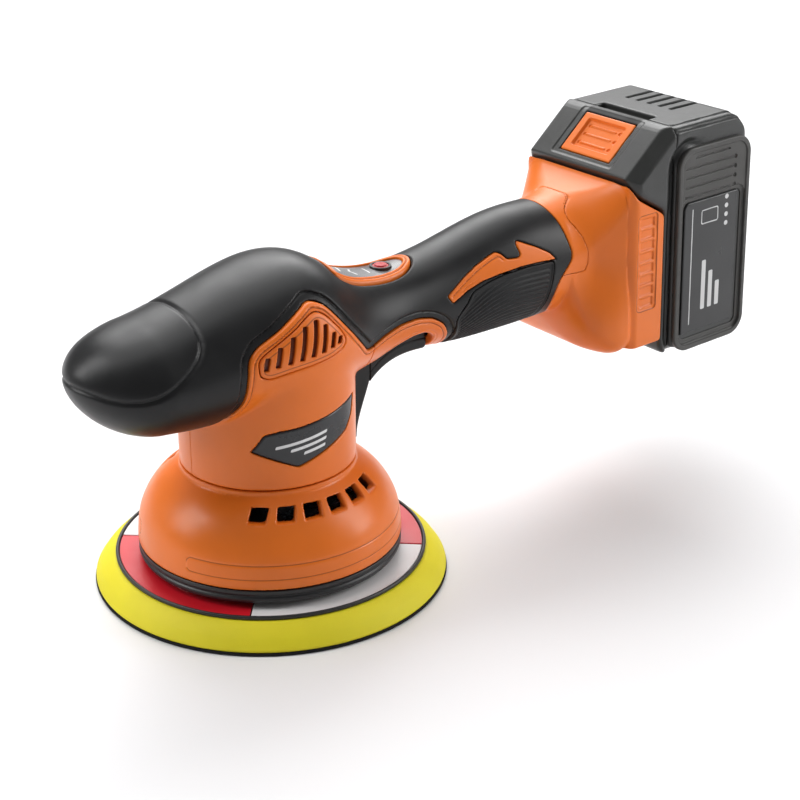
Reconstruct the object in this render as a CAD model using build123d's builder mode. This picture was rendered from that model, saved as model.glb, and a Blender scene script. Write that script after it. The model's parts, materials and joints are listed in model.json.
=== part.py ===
"""Cordless dual action polisher, in millimetres.

The motor turns about the vertical Z axis through the origin. The backing pad hangs on an eccentric and rests
on the plane Z = 0. The battery end lies towards +X, the palm grip towards -X, and Y = 0 is the mirror plane.
"""

from math import cos, radians, sin, sqrt
import os

from build123d import *

os.makedirs("parts", exist_ok=True)

# ---------------------------------------------------------------- driving dimensions
pad_radius = 75.0  # 150 mm (6 inch) backing pad
orbit_throw = 4.0  # half of the 8 mm orbit
rest_crank_angle = 53.13  # where the crank stands at rest, from +X towards +Y
barrel_radius = 36.6
wall = 2.5
cover_thickness = 2.0  # rubber cover that is moulded over the housing
running_gap = 0.05  # radial clearance of shafts in their bearings
part_gap = 0.3  # clearance between neighbouring mouldings

hook_top = 2.2
foam_top = 9.5
plate_top = 11.6
sector_top = 12.1
sector_radius = 64.2
red_start_angle, white_start_angle = 139, 49  # where the painted sectors lie at rest
shroud_bottom = 14.6
skirt_bottom = 20.6
skirt_top = 54.8
barrel_bottom = 55.1
stack_bottom, stack_top = 66.0, 98.0  # stator and rotor laminations

spindle_radius = 6.0
spindle_bearing_radius = 14.0
shaft_radius = 4.0
motor_bearing_radius = 11.0
stator_radius = 32.0

throw_x = orbit_throw * cos(radians(rest_crank_angle))
throw_y = orbit_throw * sin(radians(rest_crank_angle))
pad_centre = (throw_x, throw_y)

# Battery end: its frame leans forward by the tilt of the handle. Local x runs rearwards (u), local z up (w).
rear_tilt = 2.3
rear_origin = (171.0, 0.0, 108.0)
rear_u = (cos(radians(rear_tilt)), 0.0, sin(radians(rear_tilt)))
rear_w = (-sin(radians(rear_tilt)), 0.0, cos(radians(rear_tilt)))
rear = Plane(origin=rear_origin, x_dir=rear_u, z_dir=rear_w)
rear_side = Plane(origin=rear_origin, x_dir=rear_u, z_dir=(0, -1, 0))
rear_face = Plane(origin=rear_origin, x_dir=(0, 1, 0), z_dir=rear_u)  # sketch x is Y, sketch y is w
battery_half_width = 36.0

pieces = {}


def piece(label, builder):
    """Keeps a finished piece under its node name."""
    pieces[label] = builder


# ---------------------------------------------------------------- small shapes used many times
def disc_stack(centre, steps):
    """Solid of coaxial vertical cylinders: steps are (radius, bottom, top)."""
    with BuildPart() as solid:
        for radius, bottom, top in steps:
            with BuildSketch(Plane.XY.offset(bottom)):
                with Locations(centre):
                    Circle(radius)
            extrude(amount=top - bottom)
    return solid


def ring(centre, outer, inner, bottom, top):
    """Vertical ring of rectangular section."""
    with BuildPart() as solid:
        with BuildSketch(Plane.XY.offset(bottom)):
            with Locations(centre):
                Circle(outer)
                Circle(inner, mode=Mode.SUBTRACT)
        extrude(amount=top - bottom)
    return solid


def bearing_races(centre, outer, inner, seam, bottoms, width):
    """Outer and inner races of the bearings on one axis, parted by the radii of seam (inner, outer)."""
    return [
        bearing_rings(centre, seam[1], outer, bottoms, width),
        bearing_rings(centre, inner, seam[0], bottoms, width),
    ]


def bearing_rings(centre, inner, outer, bottoms, width):
    """One race in each of the bearings on one axis."""
    with BuildPart() as rings:
        for bottom in bottoms:
            with BuildSketch(Plane.XY.offset(bottom)):
                with Locations(centre):
                    Circle(outer)
                    Circle(inner, mode=Mode.SUBTRACT)
            extrude(amount=width)
    return rings


def bearing_balls(centre, seam, bottoms, width):
    """The balls that run between the races."""
    with BuildPart() as balls:
        for bottom in bottoms:
            with Locations((centre[0], centre[1], bottom + width / 2)):
                with PolarLocations((seam[0] + seam[1]) / 2, 8):
                    Sphere((seam[1] - seam[0]) / 2 - running_gap)
    return balls


def pan_screws(points, head_radius, length, axis_plane):
    """Group of identical pan-head screws: points lie in axis_plane, heads stand on it, shanks go below it."""
    with BuildPart() as group:
        with BuildSketch(axis_plane):
            with Locations(*points):
                Circle(head_radius)
        extrude(amount=head_radius * 0.7)
        with BuildSketch(axis_plane.offset(head_radius * 0.7)):
            with Locations(*points):
                Rectangle(head_radius * 1.1, head_radius * 0.3)
                Rectangle(head_radius * 0.3, head_radius * 1.1)
        extrude(amount=-head_radius * 0.4, mode=Mode.SUBTRACT)
        with BuildSketch(axis_plane):
            with Locations(*points):
                Circle(head_radius * 0.5)
        extrude(amount=-length)
    return group


# ---------------------------------------------------------------- body form: one lofted hand-hold on a barrel
# Each station of the hand-hold is an upright ellipse: (x, top, bottom, half width).
nose_station = (-58.0, 126.4, 81.2, 30.7)
nose_length = 29.6
nose_lift = 3.6  # the tip of the nose lies higher than the middle of the first full station
nose_power = 1.8
grip_stations = (
    nose_station,
    (-45.0, 129.2, 79.9, 31.6),
    (-28.0, 134.3, 79.6, 33.2),
    (-10.0, 139.2, 79.6, 36.6),
    (7.0, 141.4, 79.2, 36.8),
    (20.0, 137.8, 80.6, 33.0),
    (31.0, 130.8, 82.8, 28.0),
    (43.0, 126.2, 85.4, 24.2),
    (57.0, 124.4, 86.8, 22.2),
    (72.0, 125.8, 86.2, 21.8),
    (88.0, 128.8, 84.4, 22.4),
    (104.0, 133.0, 84.0, 23.2),
    (124.0, 137.0, 84.4, 24.0),
    (145.0, 137.8, 85.9, 24.4),
)


def nose_sections(inset):
    """Rounded front of the hand-hold: ellipses that shrink towards the tip along a superellipse."""
    x_full, top, bottom, half_width = nose_station
    length = nose_length - inset
    sections = []
    for share in (0.985, 0.93, 0.80, 0.58, 0.30):
        shrink = (1 - share**nose_power) ** (1 / nose_power)
        centre = (top + bottom) / 2 + nose_lift * share**2
        sections.append((
            x_full - length * share,
            centre,
            ((top - bottom) / 2 - inset) * shrink,
            (half_width - inset) * shrink,
        ))
    return sections


def grip_form(inset, end_x=grip_stations[-1][0]):
    """The hand-hold as a lofted solid, drawn inwards by inset."""
    sections = nose_sections(inset)
    for x, top, bottom, half_width in grip_stations:
        sections.append((x, (top + bottom) / 2, (top - bottom) / 2 - inset, half_width - inset))
    with BuildPart() as form:
        for x, centre, half_height, half_width in sections:
            with BuildSketch(Plane((x, 0, centre), x_dir=(0, 1, 0), z_dir=(1, 0, 0))):
                Ellipse(half_width, half_height)
        loft()
    return form.part


def body_form(inset):
    """Hand-hold and motor barrel as one solid, drawn inwards by inset."""
    with BuildPart() as form:
        add(grip_form(inset))
        with BuildSketch(Plane.XY.offset(barrel_bottom)):
            Circle(barrel_radius - inset)
        extrude(amount=106 - barrel_bottom)
    return form.part


outer_form = body_form(0)
cover_form = body_form(cover_thickness)
cavity_form = body_form(cover_thickness + wall)
proud_form = body_form(-0.5)  # what stands a little proud of the surface


def side_prism(points, half_width=60.0, corner=0.0):
    """Prism through the body from a side-view outline of (x, z) points, with rounded corners."""
    with BuildPart() as prism:
        with BuildSketch(Plane.XZ) as outline:
            with BuildLine():
                Polyline(*points, close=True)
            make_face()
            if corner:
                fillet(outline.vertices(), corner)
        extrude(amount=half_width, both=True)
    return prism.part


# Side-view outlines that part the orange housing, the rubber cover and what is let into them.
window_outline = (
    (-60, 40), (-60, 84), (-37, 85), (-29.5, 91), (-27, 97), (-24.5, 114.5), (-19, 119), (-8, 124),
    (3, 130), (9, 128.5), (20, 118.5), (36.5, 98), (46, 103), (58, 106.4), (70, 106), (77, 102.5),
    (79.5, 97), (79.5, 40),
)
surround_outline = (
    (38.2, 60), (38.2, 96), (37.4, 98.6), (46, 103), (58, 106.4), (70, 106), (77, 102.5), (79.5, 97), (79.5, 60),
)
trigger_arch = (
    (43.5, 80), (43.5, 88.5), (50, 91.5), (57, 94), (64.5, 95.8), (70, 96.6), (74, 95.6), (76.4, 92.5), (76.8, 80),
)
accent_outline = (
    (78.0, 112.6), (84, 117.4), (92, 121.6), (101, 124.6), (104.5, 124.6), (108, 122.8), (114.5, 123.6),
    (117, 128), (127, 124.5), (136.5, 117.2), (118, 117.2), (103, 115.4), (90, 112.6), (79.5, 109.2),
)
ribbed_outline = (
    (84.5, 80), (81.0, 92), (81.2, 105.5), (90, 111.6), (103, 114.4), (118, 116.2), (137.5, 116.4),
    (137.0, 104), (133.5, 80),
)
vent_outline = (
    (-20.6, 104.4), (-17.5, 102.6), (17.5, 104.2), (20.4, 106.8), (18.6, 110.2), (7.4, 125.6), (2.8, 126.4),
    (-3.0, 121.4),
)
badge_outline = (
    (-24.6, 71.0), (-21.6, 77.8), (-17.1, 80.4), (-7.6, 80.8), (6.7, 82.6), (23.2, 86.0), (19.6, 78.6),
    (12.0, 71.4), (1.1, 65.0), (-9.2, 64.2), (-19.0, 67.0),
)
boss_points = ((-60.0, 103.0), (46.0, 111.5), (86.0, 97.0), (127.0, 99.0))  # clamshell screws, as (x, z)
boss_radius, screw_bore, screw_head_bore = 4.0, 1.5, 3.2
screw_seat = 9.0  # the screw heads sit this far from the mirror plane, on the +Y side
panel_front, panel_rear, panel_half_width = 33.0, 75.0, 16.4
panel_level = 118.0  # the control panel's opening is cut through the cover down to this level

window_prism = side_prism(window_outline)
surround_prism = side_prism(surround_outline)
arch_prism = side_prism(trigger_arch)
accent_prism = side_prism(accent_outline)
ribbed_prism = side_prism(ribbed_outline)
vent_prism = side_prism(vent_outline)
badge_prism = side_prism(badge_outline)


def panel_prism(inset):
    """Upright egg-shaped prism over the neck, for the control panel."""
    middle = (panel_front + panel_rear) / 2
    half_length = (panel_rear - panel_front) / 2 - inset
    with BuildPart() as prism:
        with BuildSketch(Plane.XY.offset(panel_level)):
            with Locations((middle, 0)):
                Ellipse(half_length, panel_half_width - inset)
        extrude(amount=30)
    return prism.part


# ---------------------------------------------------------------- backing pad
def hook_face():
    """Hook-and-loop layer that polishing foams stick to."""
    with BuildPart() as layer:
        with BuildSketch():
            with Locations(pad_centre):
                Circle(pad_radius)
        extrude(amount=hook_top)
        fillet(layer.faces().sort_by(Axis.Z)[-1].edges(), 0.6)
    return layer


def pad_foam():
    """Moulded foam with a bevelled flank."""
    with BuildPart() as foam:
        with BuildSketch(Plane(origin=(throw_x, throw_y, 0), x_dir=(1, 0, 0), z_dir=(0, -1, 0))):
            with BuildLine():
                Line((0, hook_top), (pad_radius - 0.6, hook_top))
                Line((pad_radius - 0.6, hook_top), (pad_radius - 0.4, 4.2))
                ThreePointArc((pad_radius - 0.4, 4.2), (71.6, 8.2), (66.8, 11.0))
                Polyline((66.8, 11.0), (64.4, 11.0), (64.4, foam_top), (0, foam_top), (0, hook_top))
            make_face()
        revolve(axis=Axis((throw_x, throw_y, 0), (0, 0, 1)))
    return foam


def edge_ring():
    """Black rim around the plate."""
    with BuildPart() as rim:
        with BuildSketch(Plane(origin=(throw_x, throw_y, 0), x_dir=(1, 0, 0), z_dir=(0, -1, 0))):
            with Locations((65.6, 11.9)):
                Rectangle(2.3, 1.8)
        revolve(axis=Axis((throw_x, throw_y, 0), (0, 0, 1)))
    return rim


def sectors(first_angle):
    """Two opposite painted quarter sectors on the plate."""
    with BuildPart() as pair:
        with BuildSketch(Plane.XY.offset(plate_top)):
            for start in (first_angle, first_angle + 180):
                with Locations(Location((throw_x, throw_y, 0), (0, 0, start))):
                    Rectangle(sector_radius, sector_radius, align=(Align.MIN, Align.MIN))
            with Locations(pad_centre):
                Circle(sector_radius, mode=Mode.INTERSECT)
                Circle(22, mode=Mode.SUBTRACT)
        extrude(amount=sector_top - plate_top)
    return pair


def pad_spindle():
    """Steel spindle that the pad screws into, with a threaded blind hole below."""
    spindle = disc_stack(pad_centre, ((10.5, 17.2, 20.5), (7.6, 20.5, 21.8), (spindle_radius, 21.8, 40.6)))
    with spindle:
        with Locations((throw_x, throw_y, 17.2)):
            Cylinder(4.0, 16, align=(Align.CENTER, Align.CENTER, Align.MIN), mode=Mode.SUBTRACT)
    return spindle


piece("hook_face", hook_face())
piece("pad_foam", pad_foam())
piece("pad_plate", disc_stack(pad_centre, ((64.4, foam_top, plate_top), (15.0, plate_top, 17.2))))
with pieces["pad_plate"]:
    with Locations((throw_x, throw_y, foam_top)):
        Cylinder(4.0, 10, align=(Align.CENTER, Align.CENTER, Align.MIN), mode=Mode.SUBTRACT)
piece("pad_edge_ring", edge_ring())
piece("red_sectors", sectors(red_start_angle))
piece("white_sectors", sectors(white_start_angle))
piece("pad_stud", disc_stack(pad_centre, ((4.0, foam_top, 30.0),)))
piece("pad_spindle", pad_spindle())
spindle_bearing_bottoms, spindle_bearing_seam = (21.8, 31.2), (8.2, 11.8)
outer, inner = bearing_races(
    pad_centre, spindle_bearing_radius, spindle_radius, spindle_bearing_seam, spindle_bearing_bottoms, 8
)
piece("spindle_bearing_outer_races", outer)
piece("spindle_bearing_inner_races", inner)
piece("spindle_bearing_balls", bearing_balls(pad_centre, spindle_bearing_seam, spindle_bearing_bottoms, 8))


# ---------------------------------------------------------------- crank: eccentric, counterweight, fan and rotor
def eccentric_hub():
    """Bearing cup on the offset axis, closed above and bored for the motor shaft."""
    with BuildPart() as hub:
        with BuildSketch(Plane.XY.offset(21.4)):
            with Locations(pad_centre):
                Circle(17.5)
        extrude(amount=23.4)
        with BuildSketch(Plane.XY.offset(21.4)):
            with Locations(pad_centre):
                Circle(spindle_bearing_radius)
        extrude(amount=20.0, mode=Mode.SUBTRACT)
        with BuildSketch(Plane.XY.offset(44.8)):
            Circle(7.5)
        extrude(amount=1.4)
        with BuildSketch(Plane.XY.offset(41.4)):
            Circle(shaft_radius)
        extrude(amount=6, mode=Mode.SUBTRACT)
    return hub


def counterweight():
    """Half-moon of steel opposite the throw."""
    with BuildPart() as weight:
        with BuildSketch(Plane.XY.offset(24.0)):
            Circle(36.0)
            with Locations(pad_centre):
                Circle(17.6, mode=Mode.SUBTRACT)
            with Locations(Location((0, 0, 0), (0, 0, rest_crank_angle))):
                with Locations((30.0, 0)):
                    Rectangle(66.0, 90.0, mode=Mode.SUBTRACT)
        extrude(amount=15.0)
    return weight


def cooling_fan():
    """Radial fan: a disc with straight blades."""
    with BuildPart() as fan:
        with BuildSketch(Plane.XY.offset(46.3)):
            Circle(33.0)
            Circle(shaft_radius, mode=Mode.SUBTRACT)
        extrude(amount=1.4)
        with BuildSketch(Plane.XY.offset(47.5)):
            with PolarLocations(24.5, 18):
                Rectangle(15.0, 1.2)
        extrude(amount=3.4)
        with BuildSketch(Plane.XY.offset(47.5)):
            Circle(8.0)
            Circle(shaft_radius, mode=Mode.SUBTRACT)
        extrude(amount=3.4)
    return fan


piece("eccentric_hub", eccentric_hub())
piece("counterweight", counterweight())
piece("cooling_fan", cooling_fan())
piece("motor_shaft", disc_stack((0, 0), ((shaft_radius, 41.4, 114.0),)))
piece("rotor_core", ring((0, 0), 14.0, shaft_radius, stack_bottom, stack_top))


def rotor_magnets():
    """Four arc magnets round the rotor core."""
    with BuildPart() as magnets:
        with BuildSketch(Plane.XY.offset(stack_bottom)):
            Circle(16.0)
            Circle(14.0, mode=Mode.SUBTRACT)
            Rectangle(2.0, 40.0, mode=Mode.SUBTRACT)
            Rectangle(40.0, 2.0, mode=Mode.SUBTRACT)
        extrude(amount=stack_top - stack_bottom)
    return magnets


piece("rotor_magnets", rotor_magnets())
motor_bearing_bottoms, motor_bearing_seam = (53.6, 105.4), (6.5, 6.5 + running_gap)  # sealed bearings
outer, inner = bearing_races(
    (0, 0), motor_bearing_radius, shaft_radius, motor_bearing_seam, motor_bearing_bottoms, 7
)
piece("motor_bearing_outer_races", outer)
piece("motor_bearing_inner_races", inner)


# ---------------------------------------------------------------- stator and brackets
def stator_core():
    """Laminated ring with six teeth."""
    with BuildPart() as core:
        with BuildSketch(Plane.XY.offset(stack_bottom)):
            Circle(stator_radius)
            Circle(27.0, mode=Mode.SUBTRACT)
            with PolarLocations(22.6, 6):
                Rectangle(10.0, 5.0)
            with PolarLocations(18.2, 6):
                Rectangle(2.4, 12.0)
            Circle(16.8, mode=Mode.SUBTRACT)
        extrude(amount=stack_top - stack_bottom)
    return core


def stator_windings():
    """A coil round each tooth."""
    with BuildPart() as coils:
        with PolarLocations(23.2, 6):
            with Locations((0, 0, (stack_bottom + stack_top) / 2)):
                Box(6.2, 10.4, stack_top - stack_bottom + 7)
                Box(6.2, 5.4, stack_top - stack_bottom + 1, mode=Mode.SUBTRACT)
    return coils


piece("stator_core", stator_core())
piece("stator_windings", stator_windings())
bracket_radius = barrel_radius - cover_thickness - wall - 0.1
piece("lower_motor_bracket", disc_stack((0, 0), ((bracket_radius, 55.3, 58.0), (14.0, 53.2, 61.5))))
piece("upper_motor_bracket", disc_stack((0, 0), ((bracket_radius, 103.2, 105.0), (14.0, 103.2, 113.0))))
for label, seat_bottom in zip(("lower_motor_bracket", "upper_motor_bracket"), motor_bearing_bottoms):
    with pieces[label]:
        with Locations((0, 0, seat_bottom)):
            Cylinder(motor_bearing_radius, 7, align=(Align.CENTER, Align.CENTER, Align.MIN), mode=Mode.SUBTRACT)
        with Locations((0, 0, seat_bottom - 3)):
            Cylinder(9.0, 14, align=(Align.CENTER, Align.CENTER, Align.MIN), mode=Mode.SUBTRACT)
with pieces["upper_motor_bracket"]:
    with Locations((29.0, 0, 104.0)):
        Box(10.0, 28.0, 4.0, mode=Mode.SUBTRACT)  # lets the motor leads through


# ---------------------------------------------------------------- skirt
skirt_profile = (
    (55.4, skirt_bottom), (55.0, 27.0), (53.7, 33.4), (51.0, 39.4), (47.2, 44.6), (42.6, 48.8), (37.0, 52.6),
)
skirt_neck_radius = 36.9
vent_windows = 6
vent_first_angle, vent_pitch = -128.8, 14.4


def bell(points, inner_radius):
    """Solid of revolution below a smooth profile of (radius, height) points."""
    with BuildPart() as solid:
        with BuildSketch(Plane.XZ):
            with BuildLine():
                Spline(*points)
                top, bottom = points[-1][1], points[0][1]
                Polyline(points[-1], (inner_radius, top), (inner_radius, bottom), points[0])
            make_face()
        revolve(axis=Axis.Z)
    return solid.part


def skirt_housing():
    """Bell over the pad, with a row of air outlets on either side."""
    inner_profile = [(radius - wall, height - 1.0) for radius, height in skirt_profile[:-2]]
    inner_profile += [(37.0, 49.9), (33.4, 51.4)]
    with BuildPart() as skirt:
        add(bell(skirt_profile, 20.0))
        add(ring((0, 0), skirt_neck_radius, 20.0, 51.5, skirt_top))
        add(bell(inner_profile, 0.0), mode=Mode.SUBTRACT)
        for mirrored in (1, -1):
            for index in range(vent_windows):
                angle = mirrored * (vent_first_angle + index * vent_pitch)
                with Locations(Location((0, 0, 46.8), (0, 0, angle))):
                    with Locations((47.5, 0, 0)):
                        Box(16.0, 6.4, 6.0, mode=Mode.SUBTRACT)
        with BuildSketch(Plane.XY.offset(50.0)):
            with PolarLocations(26.0, 4, start_angle=45):
                Circle(1.6)
        extrude(amount=8, mode=Mode.SUBTRACT)
    return skirt


def skirt_shroud():
    """Rubber ring that closes the gap above the pad."""
    with BuildPart() as shroud:
        with BuildSketch(Plane.XZ):
            with BuildLine():
                Polyline(
                    (49.0, 20.4), (49.0, 18.8), (51.4, 18.0), (52.6, shroud_bottom), (54.2, shroud_bottom),
                    (55.2, 18.6), (55.4, 20.4), close=True,
                )
            make_face()
        revolve(axis=Axis.Z)
    return shroud


piece("skirt_housing", skirt_housing())
piece("skirt_shroud", skirt_shroud())
screw_circle = [(26 * cos(radians(a)), 26 * sin(radians(a))) for a in (45, 135, 225, 315)]
piece("skirt_screws", pan_screws(screw_circle, 2.6, 5.6, Plane.XY.offset(58.0)))
with pieces["lower_motor_bracket"]:
    with Locations(*[(x, y, 50) for x, y in screw_circle]):
        Cylinder(1.4, 12, align=(Align.CENTER, Align.CENTER, Align.MIN), mode=Mode.SUBTRACT)


# ---------------------------------------------------------------- housing halves
side_vent_slots = 8


def side_vent_slots_prism():
    """Slots of the air inlet on the sides of the head, under its gable-shaped outline."""
    with BuildPart() as slots:
        with BuildSketch(Plane.XZ):
            for index in range(side_vent_slots):
                x = -15.6 + index * 4.3
                low = 106.4 + index * 0.2
                high = min(110.6 + index * 2.7, 124.0 - max(0, index - 4) * 4.6)
                with Locations((x, (low + high) / 2)):
                    SlotOverall(high - low, 1.8, rotation=90)
        extrude(amount=60, both=True)
    return slots.part


def boss_prism(radius, start, end):
    """Cylinders along Y on the clamshell screw points, between two distances from the mirror plane."""
    with BuildPart() as bosses:
        with BuildSketch(Plane(origin=(0, start, 0), x_dir=(1, 0, 0), z_dir=(0, -1, 0))):
            with Locations(*boss_points):
                Circle(radius)
        extrude(amount=start - end)
    return bosses.part


slots_prism = side_vent_slots_prism()
screw_holes = boss_prism(screw_bore, -12.0, 12.0)
head_holes = boss_prism(screw_head_bore, screw_seat, 40.0)
left_side = Solid.make_box(400, 200, 300, Plane(origin=(-150, -200, 0)))


def housing_half(side):
    """Clamshell half of the head, neck and handle, with its screw bosses; side is -1 or 1 along Y."""
    with BuildPart() as bosses:
        add(boss_prism(boss_radius, -30.0, 30.0))
        add(cover_form, mode=Mode.INTERSECT)
    with BuildPart() as half:
        add(outer_form)
        add(window_prism, mode=Mode.INTERSECT)
        for prism in (vent_prism, badge_prism):
            add(prism, mode=Mode.SUBTRACT)
        add(cover_form)
        add(cavity_form, mode=Mode.SUBTRACT)
        add(bosses.part)
        for prism in (surround_prism, panel_prism(0), slots_prism, screw_holes, head_holes):
            add(prism, mode=Mode.SUBTRACT)
        add(left_side, mode=Mode.INTERSECT if side < 0 else Mode.SUBTRACT)
    return half


piece("housing_left", housing_half(-1))
piece("housing_right", housing_half(1))


def housing_screws():
    """Long screws that pull the two halves together."""
    with BuildPart() as screws:
        add(boss_prism(screw_head_bore - 0.4, screw_seat, screw_seat + 2.2))
        add(boss_prism(0.8, screw_seat + 1.2, screw_seat + 2.2), mode=Mode.SUBTRACT)
        add(boss_prism(screw_bore, screw_seat - 20, screw_seat))
    return screws


piece("housing_screws", housing_screws())


# ---------------------------------------------------------------- rubber cover and what is let into it
def skin_patch(prism):
    """Part of the outer layer inside a side-view outline, with access holes for the clamshell screws."""
    with BuildPart() as patch:
        add(outer_form)
        add(cover_form, mode=Mode.SUBTRACT)
        add(prism, mode=Mode.INTERSECT)
        add(head_holes, mode=Mode.SUBTRACT)
    return patch


def rubber_cover():
    """Cover over the palm grip, the top of the head and the handle."""
    with BuildPart() as skin:
        add(outer_form)
        add(cover_form, mode=Mode.SUBTRACT)
        for prism in (window_prism, surround_prism, accent_prism, ribbed_prism, panel_prism(0), head_holes):
            add(prism, mode=Mode.SUBTRACT)
    return skin


def rear_strip():
    """Rubber strip down the back of the barrel, thickening into the hollow of the neck."""
    with BuildPart() as strip:
        with BuildSketch(Plane.XZ):
            with BuildLine():
                Polyline((30, 80), (30, 55.4), (37.9, 55.4), (38.2, 62))
                Spline((38.2, 62), (39.3, 69), (41.4, 75), (43.3, 79.0))
                Polyline((43.3, 79.0), (43.3, 88), (30, 88), (30, 80))
            make_face()
        extrude(amount=12.5, both=True)
        add(outer_form, mode=Mode.SUBTRACT)
        add(surround_prism & outer_form, mode=Mode.SUBTRACT)
    return strip


piece("rubber_cover", rubber_cover())
piece("handle_accents", skin_patch(accent_prism))
piece("ribbed_grip", skin_patch(ribbed_prism))
piece("rear_strip", rear_strip())
piece("side_vents", skin_patch(vent_prism))
with pieces["side_vents"]:
    add(slots_prism, mode=Mode.SUBTRACT)
piece("badge_plates", skin_patch(badge_prism))


# ---------------------------------------------------------------- trigger
trigger_pivot = (48.0, 96.5)
trigger_pin_radius = 1.5
trigger_half_width = 13.0


def trigger_surround():
    """Bezel below the neck with the opening for the trigger."""
    with BuildPart() as bezel:
        add(outer_form)
        add(cavity_form, mode=Mode.SUBTRACT)
        add(surround_prism, mode=Mode.INTERSECT)
        add(arch_prism, mode=Mode.SUBTRACT)
        with Locations((60.3, 0, 91)):
            Box(34.0, 2 * trigger_half_width + 1.0, 21.0, mode=Mode.SUBTRACT)
        add(pin_cylinder(trigger_pin_radius, 16.0), mode=Mode.SUBTRACT)
    return bezel


def pin_cylinder(radius, half_length):
    """Cylinder along Y on the trigger's pivot."""
    with BuildPart() as cylinder:
        with BuildSketch(Plane.XZ):
            with Locations(trigger_pivot):
                Circle(radius)
        extrude(amount=half_length, both=True)
    return cylinder.part


def trigger():
    """Long trigger: it turns on the pin at its front and its rear end goes up into the neck."""
    with BuildPart() as lever:
        with BuildSketch(Plane.XZ):
            with BuildLine():
                Polyline(
                    (43.7, 79.4), (44.3, 90.0), (44.7, 99.5), (52.0, 99.5), (54.0, 97.0), (71.0, 96.6),
                    (75.0, 92.0), (75.6, 87.2),
                )
                Spline((75.6, 87.4), (66.0, 88.0), (57.0, 86.9), (50.5, 84.4), (46.5, 81.8), (43.7, 79.4))
            make_face()
        extrude(amount=trigger_half_width, both=True)
        with Locations((63.5, 0, 95.5)):
            Box(13.0, 2 * trigger_half_width - 5, 10.0, mode=Mode.SUBTRACT)
        with Locations((67.5, 0, 93.0)):
            Box(2.0, 2 * trigger_half_width - 4, 7.0)  # rib that reaches the switch
        add(pin_cylinder(trigger_pin_radius + running_gap, 20.0), mode=Mode.SUBTRACT)
    return lever


def coil_spring(plane, pitch, height, radius, wire_radius):
    """Coil spring that stands on a plane, round the plane's origin."""
    with BuildPart() as upright:
        with BuildLine() as path:
            Helix(pitch=pitch, height=height, radius=radius)
        with BuildSketch(Plane(origin=path.line @ 0, z_dir=path.line % 0)):
            Circle(wire_radius)
        sweep(is_frenet=True)
    return upright.part.moved(plane.location)


def trigger_switch():
    """Switch module with its plunger above the trigger's rib."""
    with BuildPart() as switch:
        with Locations((65.5, 0, 107.8)):
            Box(17.0, 13.0, 9.6)
        with Locations((67.5, 0, 101.5)):
            Cylinder(1.6, 3.2)
    return switch


piece("trigger_surround", trigger_surround())
piece("trigger", trigger())
piece("trigger_pin", BuildPart())
with pieces["trigger_pin"]:
    add(pin_cylinder(trigger_pin_radius, 15.9))
piece("trigger_spring", BuildPart())
with pieces["trigger_spring"]:
    add(coil_spring(Plane((61.5, 0, 91.2)), 2.3, 11.0, 2.6, 0.4))
piece("trigger_switch", trigger_switch())


# ---------------------------------------------------------------- control panel on top of the neck
button_centre = (58.6, 0.0)
button_radius, collar_radius = 3.4, 4.6


def panel_piece(form, outer_inset, inner_inset, bottom):
    """Layer of the control panel between two insets of its outline; inner_inset may be None for a full plate."""
    with BuildPart() as layer:
        add(panel_prism(outer_inset))
        if inner_inset is not None:
            add(panel_prism(inner_inset), mode=Mode.SUBTRACT)
        add(form, mode=Mode.INTERSECT)
        with BuildSketch(Plane.XY.offset(bottom - 20)):
            Rectangle(200, 200)
        extrude(amount=20, mode=Mode.SUBTRACT)
    return layer


def bored(builder, centre, radius):
    """Drills an upright hole right through a finished piece."""
    with builder:
        with Locations((centre[0], centre[1], 100)):
            Cylinder(radius, 80, mode=Mode.SUBTRACT)
    return builder


piece("panel_bezel", panel_piece(proud_form, 0.1, 3.6, panel_level))
piece("panel_lens", bored(panel_piece(outer_form, 3.6, None, 122.0), button_centre, collar_radius))
piece("button_collar", ring(button_centre, collar_radius, button_radius + 0.3, 121.0, 125.0))
piece("power_button", disc_stack(button_centre, ((button_radius, 120.4, 124.8), (button_radius - 0.8, 124.8, 125.4))))
piece("display_board", BuildPart())
with pieces["display_board"]:
    with Locations((55, 0, 117.1)):
        Box(28.0, 17.0, 1.4)
    with Locations((button_centre[0], button_centre[1], 118.4)):
        Cylinder(2.4, 1.2)


# ---------------------------------------------------------------- electronics in the handle
def controller_board():
    """Motor controller with its capacitors and heat spreader."""
    with BuildPart() as board:
        with Locations((106, 0, 106.8)):
            Box(42.0, 28.0, 1.6)
        with BuildSketch(Plane.XY.offset(107.6)):
            with Locations((92, -7), (92, 7)):
                Circle(4.6)
        extrude(amount=9)
        with Locations((108, 0, 109.6)):
            Box(14.0, 22.0, 4.0)
        with Locations((121, 0, 108.6)):
            Box(6.0, 16.0, 2.0)
    return board


def motor_leads():
    """Three leads from the windings to the controller."""
    with BuildPart() as leads:
        for y in (-11.5, 9.5, 12.5):
            with BuildLine() as path:
                Spline((26.6, y, 100.6), (38, y, 103.8), (56, y, 105.2), (72, y, 106.0), (84.6, y, 106.8))
            with BuildSketch(Plane(origin=path.line @ 0, z_dir=path.line % 0)):
                Circle(1.1)
            sweep(path=path.line)
    return leads


piece("controller_board", controller_board())
piece("motor_leads", motor_leads())


# ---------------------------------------------------------------- battery receptacle
collar_end = 152.0
receptacle_wall = 3.0
rail_wide, rail_narrow = 20.0, 15.5  # half widths of the T-shaped channel
rail_floor, rail_lip = 8.5, 14.6  # where the channel and its lips start along u
block_outline = (
    (-3.0, -36.0), (0.0, -37.8), (19.0, -37.8), (19.0, 22.3), (3.0, 32.3), (-0.9, 39.8), (-3.0, 38.6),
)


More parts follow.
